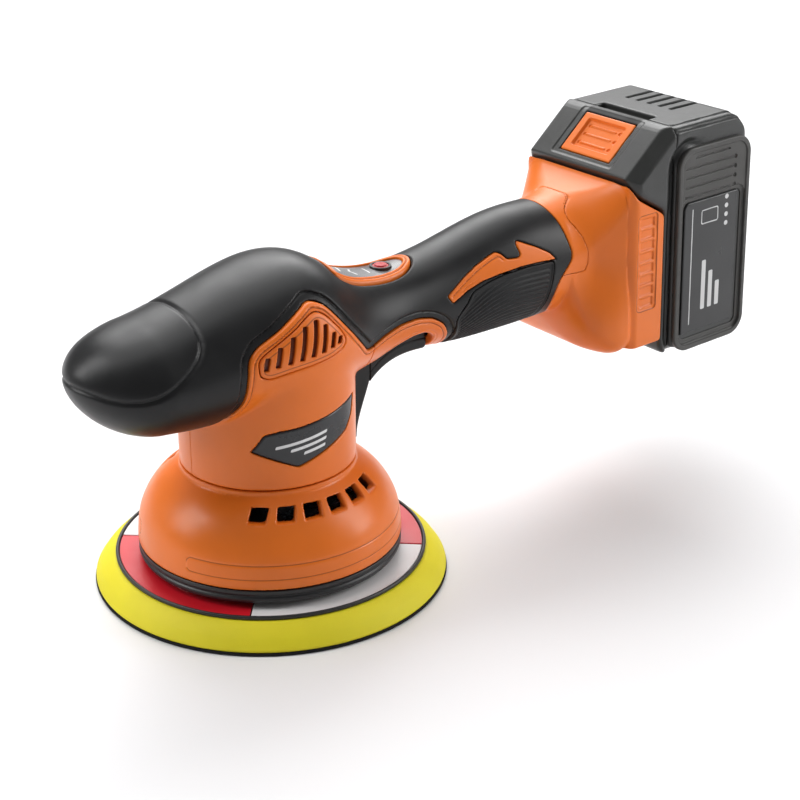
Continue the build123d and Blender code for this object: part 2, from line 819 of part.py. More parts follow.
def flare_form(inset):
    """Trumpet from the round handle to the upright battery plate, drawn inwards by inset."""
    with BuildPart() as flare:
        for x, centre, width, height, corner in (
            (145.0, 111.9, 48.8, 52.2, 24.2),
            (148.5, 109.2, 50.4, 58.4, 24.0),
            (152.0, 106.5, 55.0, 65.0, 23.0),
            (156.0, 105.5, 60.0, 68.6, 21.0),
            (161.0, 105.8, 65.0, 71.6, 18.0),
            (166.0, 106.9, 69.2, 74.2, 14.0),
        ):
            with BuildSketch(Plane((x, 0, centre), x_dir=(0, 1, 0), z_dir=(1, 0, 0))):
                RectangleRounded(width - 2 * inset, height - 2 * inset, corner - inset)
        with BuildSketch(rear_face.offset(-1.5)):
            RectangleRounded(71.6 - 2 * inset, 76.4 - 2 * inset, 10.0 - inset)
        loft()
    return flare.part


def along_u(outline_width, outline_height, w_bottom, u_start, u_end):
    """Box across the battery end, centred on Y: width along Y, height up from w_bottom."""
    with BuildPart() as box:
        with BuildSketch(rear_face.offset(u_start)):
            with Locations((0, w_bottom + outline_height / 2)):
                Rectangle(outline_width, outline_height)
        extrude(amount=u_end - u_start)
    return box.part


def rear_prism(points, half_width):
    """Prism across the battery end from an outline of (u, w) points."""
    with BuildPart() as prism:
        with BuildSketch(rear_side):
            with BuildLine():
                Polyline(*points, close=True)
            make_face()
        extrude(amount=half_width, both=True)
    return prism.part


def wire_passage():
    """Round way for the wires from the handle to the terminals."""
    with BuildPart() as way:
        with BuildSketch(rear_face.offset(-45)):
            with Locations((0, 2)):
                Circle(13)
        extrude(amount=45 + rail_floor + 0.1)
    return way.part


trumpet = flare_form(0)
trumpet_hollow = flare_form(receptacle_wall)
passage = wire_passage()
collar_zone = Solid.make_box(200, 200, 300, Plane(origin=(collar_end, -100, 0)))


def handle_collar():
    """Ring that closes the handle, with a spigot into the housing halves."""
    with BuildPart() as collar:
        add(trumpet)
        add(collar_zone, mode=Mode.SUBTRACT)
        with BuildSketch(Plane((134.0, 0, 111.0), x_dir=(0, 1, 0), z_dir=(1, 0, 0))):
            Ellipse(18.0, 19.6)
        extrude(amount=12)
        for hollow in (trumpet_hollow, passage):
            add(hollow, mode=Mode.SUBTRACT)
    return collar


def battery_receptacle():
    """Block that the battery slides down onto."""
    with BuildPart() as block:
        add(trumpet)
        add(collar_zone, mode=Mode.INTERSECT)
        add(rear_prism(block_outline, battery_half_width))
        add(along_u(2 * rail_wide, 80, -28, rail_floor, rail_lip), mode=Mode.SUBTRACT)
        add(along_u(2 * rail_narrow, 80, -28, rail_lip - 1, 25), mode=Mode.SUBTRACT)
        for hollow in (trumpet_hollow, along_u(60, 58, -30, -2, rail_floor - receptacle_wall), passage):
            add(hollow, mode=Mode.SUBTRACT)
    return block


blade_rows = (-12.0, -4.0, 4.0, 12.0)


def terminal_blades():
    """Contact blades that stand up from the terminal block."""
    with BuildPart() as blades:
        for y in blade_rows:
            with BuildSketch(Plane(origin=rear.from_local_coords((11.5, y, -22)), x_dir=rear_u, z_dir=rear_w)):
                Rectangle(3.6, 0.8)
            extrude(amount=12.5)
    return blades


piece("handle_collar", handle_collar())
piece("battery_receptacle", battery_receptacle())
piece("terminal_block", BuildPart())
with pieces["terminal_block"]:
    add(along_u(2 * rail_wide, 6, -28, rail_floor, rail_lip))
piece("terminal_blades", terminal_blades())


# ---------------------------------------------------------------- battery
case_front, case_split, case_back = 19.5, 25.2, 70.4
case_bottom, case_top = -47.0, 60.5
chamfer_start, chamfer_end = (-1.3, 41.8), (20.9, case_top)
battery_outline = (
    (case_front, -44.0), (case_front, 23.2), (3.3, 33.2), (-0.9, 40.7), chamfer_start, chamfer_end,
    (63.0, case_top), (case_back, 52.0), (case_back, -42.0), (66.0, case_bottom), (23.0, case_bottom),
)
cell_radius, cell_length, cell_pitch = 9.1, 65.0, 19.2
shell_thickness = 2.2


def battery_block():
    """Outer form of the battery without its tongue."""
    return rear_prism(battery_outline, battery_half_width)


def battery_cavity():
    """Room for the cells and the board."""
    return along_u(
        2 * (battery_half_width - shell_thickness), 101.0, -45.0, case_front + shell_thickness, case_back - 2.4
    )


chamfer_length = sqrt((chamfer_end[0] - chamfer_start[0]) ** 2 + (chamfer_end[1] - chamfer_start[1]) ** 2)
chamfer_u = (chamfer_end[0] - chamfer_start[0]) / chamfer_length
chamfer_w = (chamfer_end[1] - chamfer_start[1]) / chamfer_length
latch_from, latch_to, latch_half_width = 5.5, 27.0, 16.0
latch_depth, latch_travel = 6.5, 3.0


def rear_vector(u, w):
    """World direction of a direction in the battery end's side view."""
    return (u * rear_u[0] + w * rear_w[0], 0, u * rear_u[2] + w * rear_w[2])


latch_middle = (latch_from + latch_to) / 2
latch_plane = Plane(
    origin=rear.from_local_coords(
        (chamfer_start[0] + chamfer_u * latch_middle, 0, chamfer_start[1] + chamfer_w * latch_middle)
    ),
    x_dir=rear_vector(chamfer_u, chamfer_w),
    z_dir=rear_vector(-chamfer_w, chamfer_u),
)


def latch_box(grow, top, bottom):
    """Box under the chamfered face in line with the latch."""
    with BuildPart() as box:
        with BuildSketch(latch_plane.offset(bottom)):
            Rectangle(latch_to - latch_from + 2 * grow, 2 * (latch_half_width + grow))
        extrude(amount=top - bottom)
    return box.part


tongue_wide, tongue_narrow = rail_wide - part_gap, rail_narrow - part_gap


def battery_front_case():
    """Front shell with the sliding tongue, the overhang and the latch pocket."""
    with BuildPart() as case:
        add(battery_block())
        add(battery_cavity(), mode=Mode.SUBTRACT)
        add(along_u(2 * tongue_wide, 52, -20, rail_floor + part_gap, rail_lip - part_gap))
        add(along_u(2 * tongue_narrow, 52, -20, rail_lip - 1, case_front + 1))
        add(along_u(200, 200, -100, case_split, 90), mode=Mode.SUBTRACT)
        for y in blade_rows:
            blade_slot = Plane(origin=rear.from_local_coords((11.5, y, -21)), x_dir=rear_u, z_dir=rear_w)
            with BuildSketch(blade_slot):
                Rectangle(4.4, 2.0)
            extrude(amount=13.5, mode=Mode.SUBTRACT)
        add(latch_box(part_gap, 5, -latch_depth - latch_travel - 0.6), mode=Mode.SUBTRACT)
    return case


def battery_rear_case():
    """Rear shell with the finger hollow and the slots on top."""
    with BuildPart() as case:
        add(battery_block())
        add(battery_cavity(), mode=Mode.SUBTRACT)
        add(along_u(200, 200, -100, -20, case_split), mode=Mode.SUBTRACT)
        add(along_u(34, 10, case_top - 3.0, case_split - 1, 31.5), mode=Mode.SUBTRACT)
        with BuildSketch(Plane(origin=rear.from_local_coords((53.4, 1.6, case_top)), x_dir=rear_u, z_dir=rear_w)):
            with GridLocations(0, 7.0, 1, 5):
                SlotOverall(18.8, 2.4)
        extrude(amount=-1.4, mode=Mode.SUBTRACT)
    return case


def side_plate(length_inset, low, high, start, end, corner):
    """Rounded plates on both flanks of the battery, between two distances from the mirror plane."""
    with BuildPart() as plates:
        for side in (-1, 1):
            flank = Plane(origin=rear.from_local_coords((0, side * start, 0)), x_dir=rear_u, z_dir=(0, side, 0))
            with BuildSketch(flank):
                with Locations((48.5, -side * (low + high) / 2)):
                    RectangleRounded(45.8 - 2 * length_inset, high - low, corner)
            extrude(amount=end - start)
    return plates


def battery_side_panels():
    """Raised panels on both flanks, with a window for the label plate."""
    panels = side_plate(0, -47.0, 50.0, battery_half_width, battery_half_width + 2.0, 9.0)
    with panels:
        add(side_plate(4.6, -40.7, 27.2, battery_half_width, 60, 3.0).part, mode=Mode.SUBTRACT)
    return panels


def battery_cells():
    """Ten round cells lying across the pack."""
    with BuildPart() as cells:
        with BuildSketch(rear_side.offset(-cell_length / 2)):
            with Locations((44.8, 3.9)):
                with GridLocations(cell_pitch, cell_pitch, 2, 5):
                    Circle(cell_radius)
        extrude(amount=cell_length)
    return cells


def cell_holders():
    """Frames that hold the cells near both ends."""
    with BuildPart() as holders:
        for y in (-27.0, 24.0):
            with BuildSketch(rear_side.offset(y)):
                with Locations((44.8, 3.9)):
                    Rectangle(39.0, 97.0)
                    with GridLocations(cell_pitch, cell_pitch, 2, 5):
                        Circle(cell_radius, mode=Mode.SUBTRACT)
            extrude(amount=3.0)
    return holders


def latch_button():
    """Sprung latch with a finger recess and three ribs."""
    with BuildPart() as latch:
        add(latch_box(0, 0, -latch_depth))
        with BuildSketch(latch_plane):
            with Locations((2.0, 0)):
                Rectangle(15.0, 2 * latch_half_width - 8)
        extrude(amount=-1.4, mode=Mode.SUBTRACT)
        with BuildSketch(latch_plane.offset(-1.4)):
            with GridLocations(3.6, 0, 3, 1):
                Rectangle(1.4, 2 * latch_half_width - 12)
        extrude(amount=1.0)
    return latch


def latch_spring():
    """Two short coil springs under the latch."""
    with BuildPart() as coils:
        for y in (-9.0, 9.0):
            floor = latch_plane.offset(-latch_depth - latch_travel - 0.2)
            add(coil_spring(Plane(floor.from_local_coords((0, y, 0)), floor.x_dir, floor.z_dir), 1.0, 2.7, 2.0, 0.3))
    return coils


piece("battery_front_case", battery_front_case())
piece("battery_rear_case", battery_rear_case())
piece("battery_side_panels", battery_side_panels())
piece("battery_label_plates", side_plate(4.7, -40.6, 27.1, battery_half_width, battery_half_width + 1.3, 2.9))
piece("battery_cells", battery_cells())
piece("cell_holders", cell_holders())
piece("battery_board", BuildPart())
with pieces["battery_board"]:
    add(along_u(52, 80, -36, 22.4, 24.0))
piece("latch_button", latch_button())
piece("latch_spring", latch_spring())


# ---------------------------------------------------------------- export
for label, builder in pieces.items():
    builder.part.label = label
    export_step(builder.part, f"parts/{label}.step")
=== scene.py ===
"""Looks of the cordless dual action polisher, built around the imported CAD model.

Shapes are written as distance fields in millimetres (negative inside) in the CAD frame, and turned into meshes by
surface nets. The battery end has its own leaning frame: u runs rearwards, w runs up.
"""
import json
import math

import bmesh
import bpy
import numpy as np
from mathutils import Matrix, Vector


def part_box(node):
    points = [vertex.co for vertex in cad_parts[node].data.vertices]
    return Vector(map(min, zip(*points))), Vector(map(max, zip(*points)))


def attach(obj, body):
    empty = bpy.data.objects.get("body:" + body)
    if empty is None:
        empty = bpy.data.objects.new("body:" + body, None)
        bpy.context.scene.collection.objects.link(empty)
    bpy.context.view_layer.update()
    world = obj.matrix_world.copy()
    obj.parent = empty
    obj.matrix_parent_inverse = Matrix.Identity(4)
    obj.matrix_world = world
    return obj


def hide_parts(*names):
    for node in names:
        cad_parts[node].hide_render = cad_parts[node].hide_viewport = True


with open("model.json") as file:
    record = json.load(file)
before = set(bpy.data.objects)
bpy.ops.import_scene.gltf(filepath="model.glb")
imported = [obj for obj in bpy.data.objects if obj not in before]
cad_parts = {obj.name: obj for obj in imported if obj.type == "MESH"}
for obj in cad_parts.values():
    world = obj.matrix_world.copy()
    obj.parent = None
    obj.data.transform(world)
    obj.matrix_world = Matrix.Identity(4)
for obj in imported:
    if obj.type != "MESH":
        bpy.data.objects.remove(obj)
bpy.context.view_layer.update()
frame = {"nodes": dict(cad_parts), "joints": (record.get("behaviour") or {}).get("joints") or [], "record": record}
MM = 0.001  # metres


# ---------------- dimensions shared with the CAD, read from it
def box_mm(node):
    """Lowest and highest corner of a CAD node, in millimetres."""
    low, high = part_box(node)
    return np.array(low) / MM, np.array(high) / MM


pad_low, pad_high = box_mm("hook_face")
PAD = (pad_low + pad_high) / 2  # centre of the backing pad at rest
PAD_R = (pad_high[0] - pad_low[0]) / 2
BARREL_R = box_mm("housing_right")[1][1]
slide = next(j for j in frame["joints"] if j["name"] == "battery_slide")
W_AXIS = np.array(slide["axis"], float)
U_AXIS = np.array([W_AXIS[2], 0.0, -W_AXIS[0]])
REAR = np.array([171.0, 0.0, 108.0])  # origin of the battery end's frame
BATTERY_Y = box_mm("battery_rear_case")[1][1]
PANEL_Y = box_mm("battery_side_panels")[1][1]
SLOT_OF = {part["node"]: part["material_slot"] for part in frame["record"]["subparts"]}

FINE = 1.0


# ---------------- field tools
def smax(a, b, r):
    """Intersection with its edge rounded to about r."""
    h = np.clip(0.5 - 0.5 * (b - a) / r, 0, 1)
    return b * (1 - h) + a * h + r * h * (1 - h)


def smin(a, b, r):
    """Union with its crease filled to about r."""
    return -smax(-a, -b, r)


def carve(f, *cuts):
    """Intersection of a field with others in turn, each given with the rounding of its edge."""
    for other, r in cuts:
        f = smax(f, other, r)
    return f


def step(a, b, t):
    """Smooth step from 0 at a to 1 at b."""
    s = np.clip((t - a) / (b - a), 0, 1)
    return s * s * (3 - 2 * s)


def groove(t, width, depth):
    """Depth of a soft groove centred on t = 0."""
    return depth * np.exp(-((t / (0.5 * width)) ** 2))


def chaikin(points):
    """Closed outline with its corners cut round."""
    p = np.array(points, float)
    q = np.roll(p, -1, axis=0)
    return np.stack([0.75 * p + 0.25 * q, 0.25 * p + 0.75 * q], 1).reshape(-1, 2)


def rounded(points, radius, steps=4):
    """Closed outline with each corner replaced by a small curve."""
    p = np.array(points, float)
    result = []
    for before, at, after in zip(np.roll(p, 1, 0), p, np.roll(p, -1, 0)):
        a, b = before - at, after - at
        la, lb = np.linalg.norm(a), np.linalg.norm(b)
        cut = min(radius, 0.45 * la, 0.45 * lb)
        start, end = at + a / la * cut, at + b / lb * cut
        for t in np.linspace(0, 1, steps):
            result.append((1 - t) ** 2 * start + 2 * t * (1 - t) * at + t**2 * end)
    return np.array(result)


class Outline:
    """Signed distance to a closed 2-D outline, tabulated on a fine grid."""

    def __init__(self, points, cell=0.35, margin=9.0):
        p = np.array(points, float)
        self.low, self.cell = p.min(0) - margin, cell
        n = np.ceil((p.max(0) + margin - self.low) / cell).astype(int) + 1
        gx, gy = np.meshgrid(*[self.low[k] + cell * np.arange(n[k]) for k in (0, 1)], indexing="ij")
        best = np.full(gx.shape, 1e9)
        inside = np.zeros(gx.shape, bool)
        for a, b in zip(p, np.roll(p, -1, axis=0)):
            ab = b - a
            t = np.clip(((gx - a[0]) * ab[0] + (gy - a[1]) * ab[1]) / (ab @ ab + 1e-12), 0, 1)
            best = np.minimum(best, np.hypot(gx - a[0] - t * ab[0], gy - a[1] - t * ab[1]))
            if a[1] != b[1]:
                cross = (a[1] > gy) != (b[1] > gy)
                inside ^= cross & (gx < a[0] + (gy - a[1]) * ab[0] / ab[1])
        self.table = np.where(inside, -best, best)
        self.top = n - 2

    def __call__(self, a, b):
        i = (a - self.low[0]) / self.cell
        j = (b - self.low[1]) / self.cell
        ci, cj = np.clip(i, 0, self.top[0]), np.clip(j, 0, self.top[1])
        beyond = np.hypot(i - ci, j - cj) * self.cell
        i0, j0 = np.minimum(ci.astype(int), self.top[0] - 1), np.minimum(cj.astype(int), self.top[1] - 1)
        fi, fj = ci - i0, cj - j0
        t = self.table
        low = t[i0, j0] * (1 - fi) + t[i0 + 1, j0] * fi
        high = t[i0, j0 + 1] * (1 - fi) + t[i0 + 1, j0 + 1] * fi
        return low * (1 - fj) + high * fj + beyond


def curve(xs, ys):
    """Smooth curve through points (natural cubic spline), as a function of an array."""
    xs, ys = np.array(xs, float), np.array(ys, float)
    n, h = len(xs), np.diff(xs)
    m = np.zeros((n, n))
    r = np.zeros(n)
    m[0, 0] = m[-1, -1] = 1
    for i in range(1, n - 1):
        m[i, i - 1 : i + 2] = h[i - 1], 2 * (h[i - 1] + h[i]), h[i]
        r[i] = 6 * ((ys[i + 1] - ys[i]) / h[i] - (ys[i] - ys[i - 1]) / h[i - 1])
    c = np.linalg.solve(m, r)

    def at(x):
        x = np.clip(x, xs[0], xs[-1])
        k = np.clip(np.searchsorted(xs, x) - 1, 0, n - 2)
        t, s, d = x - xs[k], xs[k + 1] - x, h[k]
        cubic = (c[k] * s**3 + c[k + 1] * t**3) / (6 * d)
        return cubic + (ys[k] / d - c[k] * d / 6) * s + (ys[k + 1] / d - c[k + 1] * d / 6) * t

    return at


def rounded_box(a, b, half_a, half_b, r):
    """2-D distance to a rounded rectangle centred on zero."""
    qa, qb = np.abs(a) - half_a + r, np.abs(b) - half_b + r
    return np.hypot(np.maximum(qa, 0), np.maximum(qb, 0)) + np.minimum(np.maximum(qa, qb), 0) - r


# ---------------- surface nets
BLOCK = 8


def sample(field, low, high, pitch):
    """Field values on a grid, worked out only in the blocks near the surface."""
    low = np.array(low, float)
    blocks = np.ceil((np.array(high, float) - low) / (pitch * BLOCK)).astype(int) + 1
    size = pitch * BLOCK
    bi = np.stack(np.meshgrid(*[np.arange(b) for b in blocks], indexing="ij"), -1).reshape(-1, 3)
    centres = low + (bi + 0.5) * size
    d = field(*centres.T)
    values = np.where(d < 0, -1e3, 1e3).reshape(blocks)
    values = values.repeat(BLOCK, 0).repeat(BLOCK, 1).repeat(BLOCK, 2)
    local = np.stack(np.meshgrid(*[np.arange(BLOCK)] * 3, indexing="ij"), -1).reshape(-1, 3)
    near = bi[np.abs(d) < size * 2.2]
    for chunk in np.array_split(near, max(1, len(near) // 1500)):
        index = (chunk[:, None, :] * BLOCK + local[None]).reshape(-1, 3)
        values[tuple(index.T)] = field(*(low + index * pitch).T)
    return low, values


def surface_nets(field, low, high, pitch):
    """Quad mesh of a field's zero surface: points, quads and normals."""
    low, f = sample(field, low, high, pitch)
    s = f < 0
    shape = np.array(f.shape) - 1
    count = np.zeros(shape, np.uint8)
    corners = [(i, j, k) for i in (0, 1) for j in (0, 1) for k in (0, 1)]
    for i, j, k in corners:
        count += s[i : shape[0] + i, j : shape[1] + j, k : shape[2] + k]
    active = np.flatnonzero((count > 0) & (count < 8))
    cell = np.stack(np.unravel_index(active, shape), 1)
    value = {c: f[tuple((cell + c).T)] for c in corners}
    total, hits = np.zeros((len(cell), 3)), np.zeros(len(cell))
    for c in corners:
        for axis in range(3):
            if c[axis]:
                continue
            e = tuple(v + (n == axis) for n, v in enumerate(c))
            a, b = value[c], value[e]
            cut = (a < 0) != (b < 0)
            t = np.where(cut, a / np.where(cut, a - b, 1), 0)
            point = np.array(c, float)[None] + np.eye(3)[axis][None] * t[:, None]
            total += point * cut[:, None]
            hits += cut
    points = low + (cell + total / hits[:, None]) * pitch

    quads = []
    strides = np.array([shape[1] * shape[2], shape[2], 1])
    for axis in range(3):
        o1, o2 = [(1, 2), (2, 0), (0, 1)][axis]
        a = s[tuple(slice(0, -1) if n == axis else slice(1, -1) for n in range(3))]
        b = s[tuple(slice(1, None) if n == axis else slice(1, -1) for n in range(3))]
        for flip, edge in ((False, a & ~b), (True, ~a & b)):
            where = np.stack(np.nonzero(edge), 1)
            where[:, o1] += 1
            where[:, o2] += 1
            base = where @ strides
            ring = [base - strides[o1] - strides[o2], base - strides[o2], base, base - strides[o1]]
            quad = np.stack([np.searchsorted(active, q) for q in ring], 1)
            quads.append(quad[:, ::-1] if flip else quad)
    quads = np.concatenate(quads)

    for _ in range(3):
        gradient = slope(field, points)
        move = -field(*points.T)[:, None] * gradient / np.maximum((gradient**2).sum(1), 0.2)[:, None]
        length = np.linalg.norm(move, axis=1, keepdims=True)
        points = points + move * np.minimum(1, 0.35 * pitch / np.maximum(length, 1e-9))
    normals = slope(field, points)
    return points, quads, normals / np.maximum(np.linalg.norm(normals, axis=1, keepdims=True), 1e-9)


def slope(field, p, h=0.06):
    """Gradient of a field at points."""
    columns = []
    for axis in range(3):
        step_ = np.zeros(3)
        step_[axis] = h
        columns.append((field(*(p + step_).T) - field(*(p - step_).T)) / (2 * h))
    return np.stack(columns, 1)


def build(name, field, low, high, pitch, surface, body_name, nodes=None, keep=None, mirrored=False, **stored):
    """Makes a piece from a field. stored gives functions whose values are kept on the points for the material;
    keep(points) picks the points that stay, so that hidden inner walls can be left out."""
    points, quads, normals = surface_nets(field, low, high, pitch * FINE)
    if keep is not None:
        good = keep(*points.T)
        quads = quads[good[quads].all(1)]
        used = np.unique(quads)
        renumber = np.zeros(len(points), int)
        renumber[used] = np.arange(len(used))
        points, normals, quads = points[used], normals[used], renumber[quads]
    values = {key: fn(*points.T) for key, fn in stored.items()}
    if mirrored:
        flip = np.array([1, -1, 1])
        quads = np.concatenate([quads, quads[:, ::-1] + len(points)])
        points = np.concatenate([points, points * flip])
        normals = np.concatenate([normals, normals * flip])
        values = {key: np.concatenate([v, v]) for key, v in values.items()}
    mesh = bpy.data.meshes.new(name)
    mesh.from_pydata((points * MM).tolist(), [], quads.tolist())
    mesh.polygons.foreach_set("use_smooth", np.ones(len(quads), bool))
    for key, v in values.items():
        mesh.attributes.new(key, "FLOAT", "POINT").data.foreach_set("value", v.astype(np.float32))
    mesh.normals_split_custom_set_from_vertices(normals.tolist())
    place(name, mesh, surface, body_name, nodes)


def place(name, mesh, surface, body_name, nodes):
    """Puts a piece in the scene on its body, in place of its CAD nodes (the one of its own name, if none are given),
    with the given surface's material."""
    mesh.materials.append(surface.material)
    piece = bpy.data.objects.new(name, mesh)
    nodes = nodes or [name]
    bpy.context.scene.collection.objects.link(piece)
    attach(piece, body_name)
    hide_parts(*nodes)


# ---------------- form of the hand-hold, barrel and neck
BARREL_TOP = 108  # hidden inside the hand-hold
# Each station of the hand-hold is an upright ellipse: (x, top, bottom, half width).
NOSE_X, NOSE_LENGTH, NOSE_LIFT, NOSE_POWER = -58.0, 29.6, 3.6, 1.8
STATIONS = np.array([
    (-77.0, 125.3, 82.0, 30.2), (-67.0, 125.5, 81.8, 30.3), (-58.0, 126.4, 81.2, 30.7), (-45.0, 129.2, 79.9, 31.6),
    (-28.0, 134.3, 79.6, 33.2), (-10.0, 139.2, 79.6, 36.6),
    (7.0, 141.4, 79.2, 36.8), (20.0, 137.8, 80.6, 33.0), (31.0, 130.8, 82.8, 28.0), (43.0, 126.2, 85.4, 24.2),
    (57.0, 124.4, 86.8, 22.2), (72.0, 125.8, 86.2, 21.8), (88.0, 128.8, 84.4, 22.4), (104.0, 133.0, 84.0, 23.2),
    (124.0, 137.0, 84.4, 24.0), (145.0, 137.8, 85.9, 24.4),
])
centre_at = curve(STATIONS[:, 0], (STATIONS[:, 1] + STATIONS[:, 2]) / 2)
half_height_at = curve(STATIONS[:, 0], (STATIONS[:, 1] - STATIONS[:, 2]) / 2)
half_width_at = curve(STATIONS[:, 0], STATIONS[:, 3])


def grip(x, y, z):
    """Hand-hold: a lofted ellipse that ends in a superelliptic nose."""
    share = np.maximum((NOSE_X - x) / NOSE_LENGTH, 0)
    a, b = half_width_at(x), half_height_at(x)
    dz = z - centre_at(x) - NOSE_LIFT * np.minimum(share, 1) ** 2
    q = np.hypot(y / a, dz / b) + 1e-6
    g = (share**NOSE_POWER + q**NOSE_POWER) ** (1 / NOSE_POWER)
    along = (share / g) ** (NOSE_POWER - 1) / NOSE_LENGTH
    across = (q / g) ** (NOSE_POWER - 1) * np.hypot(y / a**2, dz / b**2) / q
    return (g - 1) / np.maximum(np.hypot(along, across), 0.012)


def barrel(x, y, z):
    return np.maximum(np.hypot(x, y) - BARREL_R, z - BARREL_TOP)


def body(x, y, z):
    """Outer surface of head, neck and handle."""
    return smin(grip(x, y, z), barrel(x, y, z), 1.6)


# Side-view outlines that part the surface, as (x, z) points.
WINDOW = Outline(rounded([
    (-60, 20), (-60, 83.6), (-42, 84.4), (-34.5, 86.2), (-30.6, 90), (-28.8, 95.0), (-28.4, 104), (-27.6, 112.5),
    (-23.9, 116.7), (-13.5, 121.6), (-5, 126.2), (2.4, 130.0), (8.6, 127.6), (17.4, 117.4), (33.2, 100.4),
    (43.4, 103.7), (52.6, 105.9), (62.3, 106.4), (70.0, 104.9), (76.2, 101.2), (80.6, 95.0), (82.0, 88), (82.0, 20),
], 2.4))
VENT = Outline(rounded([
    (-24.0, 112.2), (-20.0, 114.9), (-7.7, 121.1), (-1.0, 124.8), (3.0, 126.3), (7.0, 124.6), (14.2, 116.6),
    (16.4, 112.4), (14.4, 109.6), (8.0, 107.8), (-9.6, 105.9), (-19.8, 104.2), (-23.6, 105.8),
], 2.2))
BADGE = Outline(rounded([
    (-24.7, 72.0), (-20.4, 79.3), (-15.1, 80.5), (-7.6, 81.2), (4.5, 82.8), (13.6, 84.2), (23.6, 85.7), (21.3, 77.3),
    (16.4, 72.5), (5.4, 68.8), (-8.5, 64.2), (-15.5, 67.4), (-21.3, 70.2),
], 0.8))
ACCENT = Outline(rounded([
    (78.4, 112.4), (80.5, 109.2), (88.1, 112.8), (96.7, 115.5), (106.0, 116.9), (117.1, 118.0), (125.7, 118.2),
    (136.4, 117.8), (133.3, 121.0), (127.3, 124.3), (118.6, 128.0), (117.6, 126.6), (118.3, 122.9), (116.8, 121.6),
    (111.0, 122.0), (108.6, 124.6), (106.6, 125.2), (102.9, 124.1), (95.7, 121.5), (88.0, 117.9), (82.0, 114.5),
], 0.7))
RIBBED = Outline(rounded([
    (85.2, 70), (85.0, 92), (82.8, 100.6), (84.0, 103.4), (87.5, 107.0), (91.0, 111.9), (99.6, 114.6),
    (108.1, 116.2), (121.1, 117.3), (135.2, 117.2), (134.4, 108), (133.2, 94), (132.0, 70),
], 1.4))
ARCH = Outline(rounded([
    (42.4, 70), (42.4, 88), (43.4, 90.4), (46.6, 93.2), (52.3, 96.1), (60.0, 98.6), (66.9, 98.9), (71.6, 96.8),
    (73.6, 93.4), (74.0, 90), (74.0, 70),
], 1.6))
PANEL_SIDE = [(25.4, 14.2), (33.0, 13.5), (44.6, 11.8), (56.1, 10.7), (64.4, 9.3), (70.0, 6.0), (72.4, 2.4)]
PANEL = Outline(chaikin(rounded(PANEL_SIDE + [(a, -b) for a, b in PANEL_SIDE[::-1]], 3.0)))
COVER_END = curve([84, 88, 94, 100, 109, 113, 116.5, 122.7, 131.5, 140],
                  [145, 142, 138.2, 137.4, 139.6, 142.8, 145.2, 144.9, 143.6, 141.0])  # rear edge of the cover: x at z


def window(x, y, z):
    """Where the orange housing shows: negative inside. Under the nose only the barrel itself is orange."""
    off_barrel = smin(np.hypot(x, y) - BARREL_R - 0.7, -(x + 31), 2.0)
    return smax(WINDOW(x, z), off_barrel, 1.0)


LIP = 3.2  # width of the cover's stepped lip round the orange window
RIM = 1.9  # width of the raised rim just inside the window
SHELL = 2.6  # depth to which the cover's pieces are modelled
SCREW_POINTS = [(-60.0, 103.0), (46.0, 111.5), (86.0, 97.0), (127.0, 99.0)]
SCREW_WELL = 3.2  # radius of the wells
SURROUND_X = 36.95  # where the trigger surround takes over from the housing
HOUSING_BOTTOM, SKIRT_TOP, SKIRT_BOTTOM = 55.3, 54.75, 20.75  # heights


def cover_surface(x, y, z):
    """Outer surface of the rubber cover: a stepped lip along the window, and the seam of the nose patch."""
    f = body(x, y, z)
    b = window(x, y, z)
    lip = 0.75 * (1 - step(LIP - 0.45, LIP + 0.15, b)) + groove(b - LIP + 0.1, 0.9, 0.55)
    return f + lip + groove(NOSE_SEAM(x, z), 1.8, 0.8) + groove(panel_edge(x, y, z) - 0.5, 1.0, 0.5)


# Closed seam round the palm patch on top of the nose, seen from the side.
NOSE_SEAM = Outline(chaikin([
    (-95, 109), (-85.5, 107.6), (-78.5, 104.8), (-67.8, 104.8), (-57.8, 108.9), (-47.6, 115.0), (-43.1, 120.1),
    (-41.8, 125.8), (-42.2, 129.6), (-44.5, 140), (-95, 140),
]))


def panel_edge(x, y, z):
    """Plan distance to the control panel's outline, far away below the neck."""
    return PANEL(x, y) + np.maximum(112 - z, 0)


def shell(f, depth=SHELL):
    """Outer layer of a surface."""
    return np.maximum(f, -f - depth)


def outer_half(depth):
    """Keeps points no deeper than depth below the body's surface."""
    return lambda x, y, z: body(x, y, z) > -depth


def screw_wells(x, y, z):
    """Access holes of the clamshell screws, on the +Y side only."""
    holes = [np.hypot(x - a, z - c) - SCREW_WELL for a, c in SCREW_POINTS]
    return np.maximum(np.minimum.reduce(holes), 6 - y)


def f_cover(x, y, z):
    f = shell(cover_surface(x, y, z))
    gap = 0.18
    f = carve(f, (gap - window(x, y, z), 0.7), (gap - ACCENT(x, z), 0.7), (gap - RIBBED(x, z), 0.3),
              (gap - panel_edge(x, y, z), 0.7))
    return carve(f, (-screw_wells(x, y, z), 0.5), (x - COVER_END(z) + 0.1, 0.6))


def rim_of_window(b):
    """Line just inside the orange window's edge."""
    return groove(b + RIM, 0.75, 0.42)


def f_housing(x, y, z):
    f = body(x, y, z)
    b = WINDOW(x, z)
    f = shell(f + rim_of_window(b) + groove(VENT(x, z) - 0.1, 0.9, 0.5) + 0.12 * (1 - step(-RIM, -1.5, b)) - 0.12)
    return carve(f, (window(x, y, z) + 0.15, 0.7), (-VENT(x, z) + 0.12, 0.5), (-BADGE(x, z) + 0.15, 0.5),
                    (-surround_zone(x, z) + 0.05, 0.2), (HOUSING_BOTTOM - z, 0.7), (y + 0.01, 0.05))


def surround_zone(x, z):
    """Side view of the trigger surround, which continues the orange beyond the barrel."""
    return np.maximum(SURROUND_X - 0.05 - x, WINDOW(x, z))


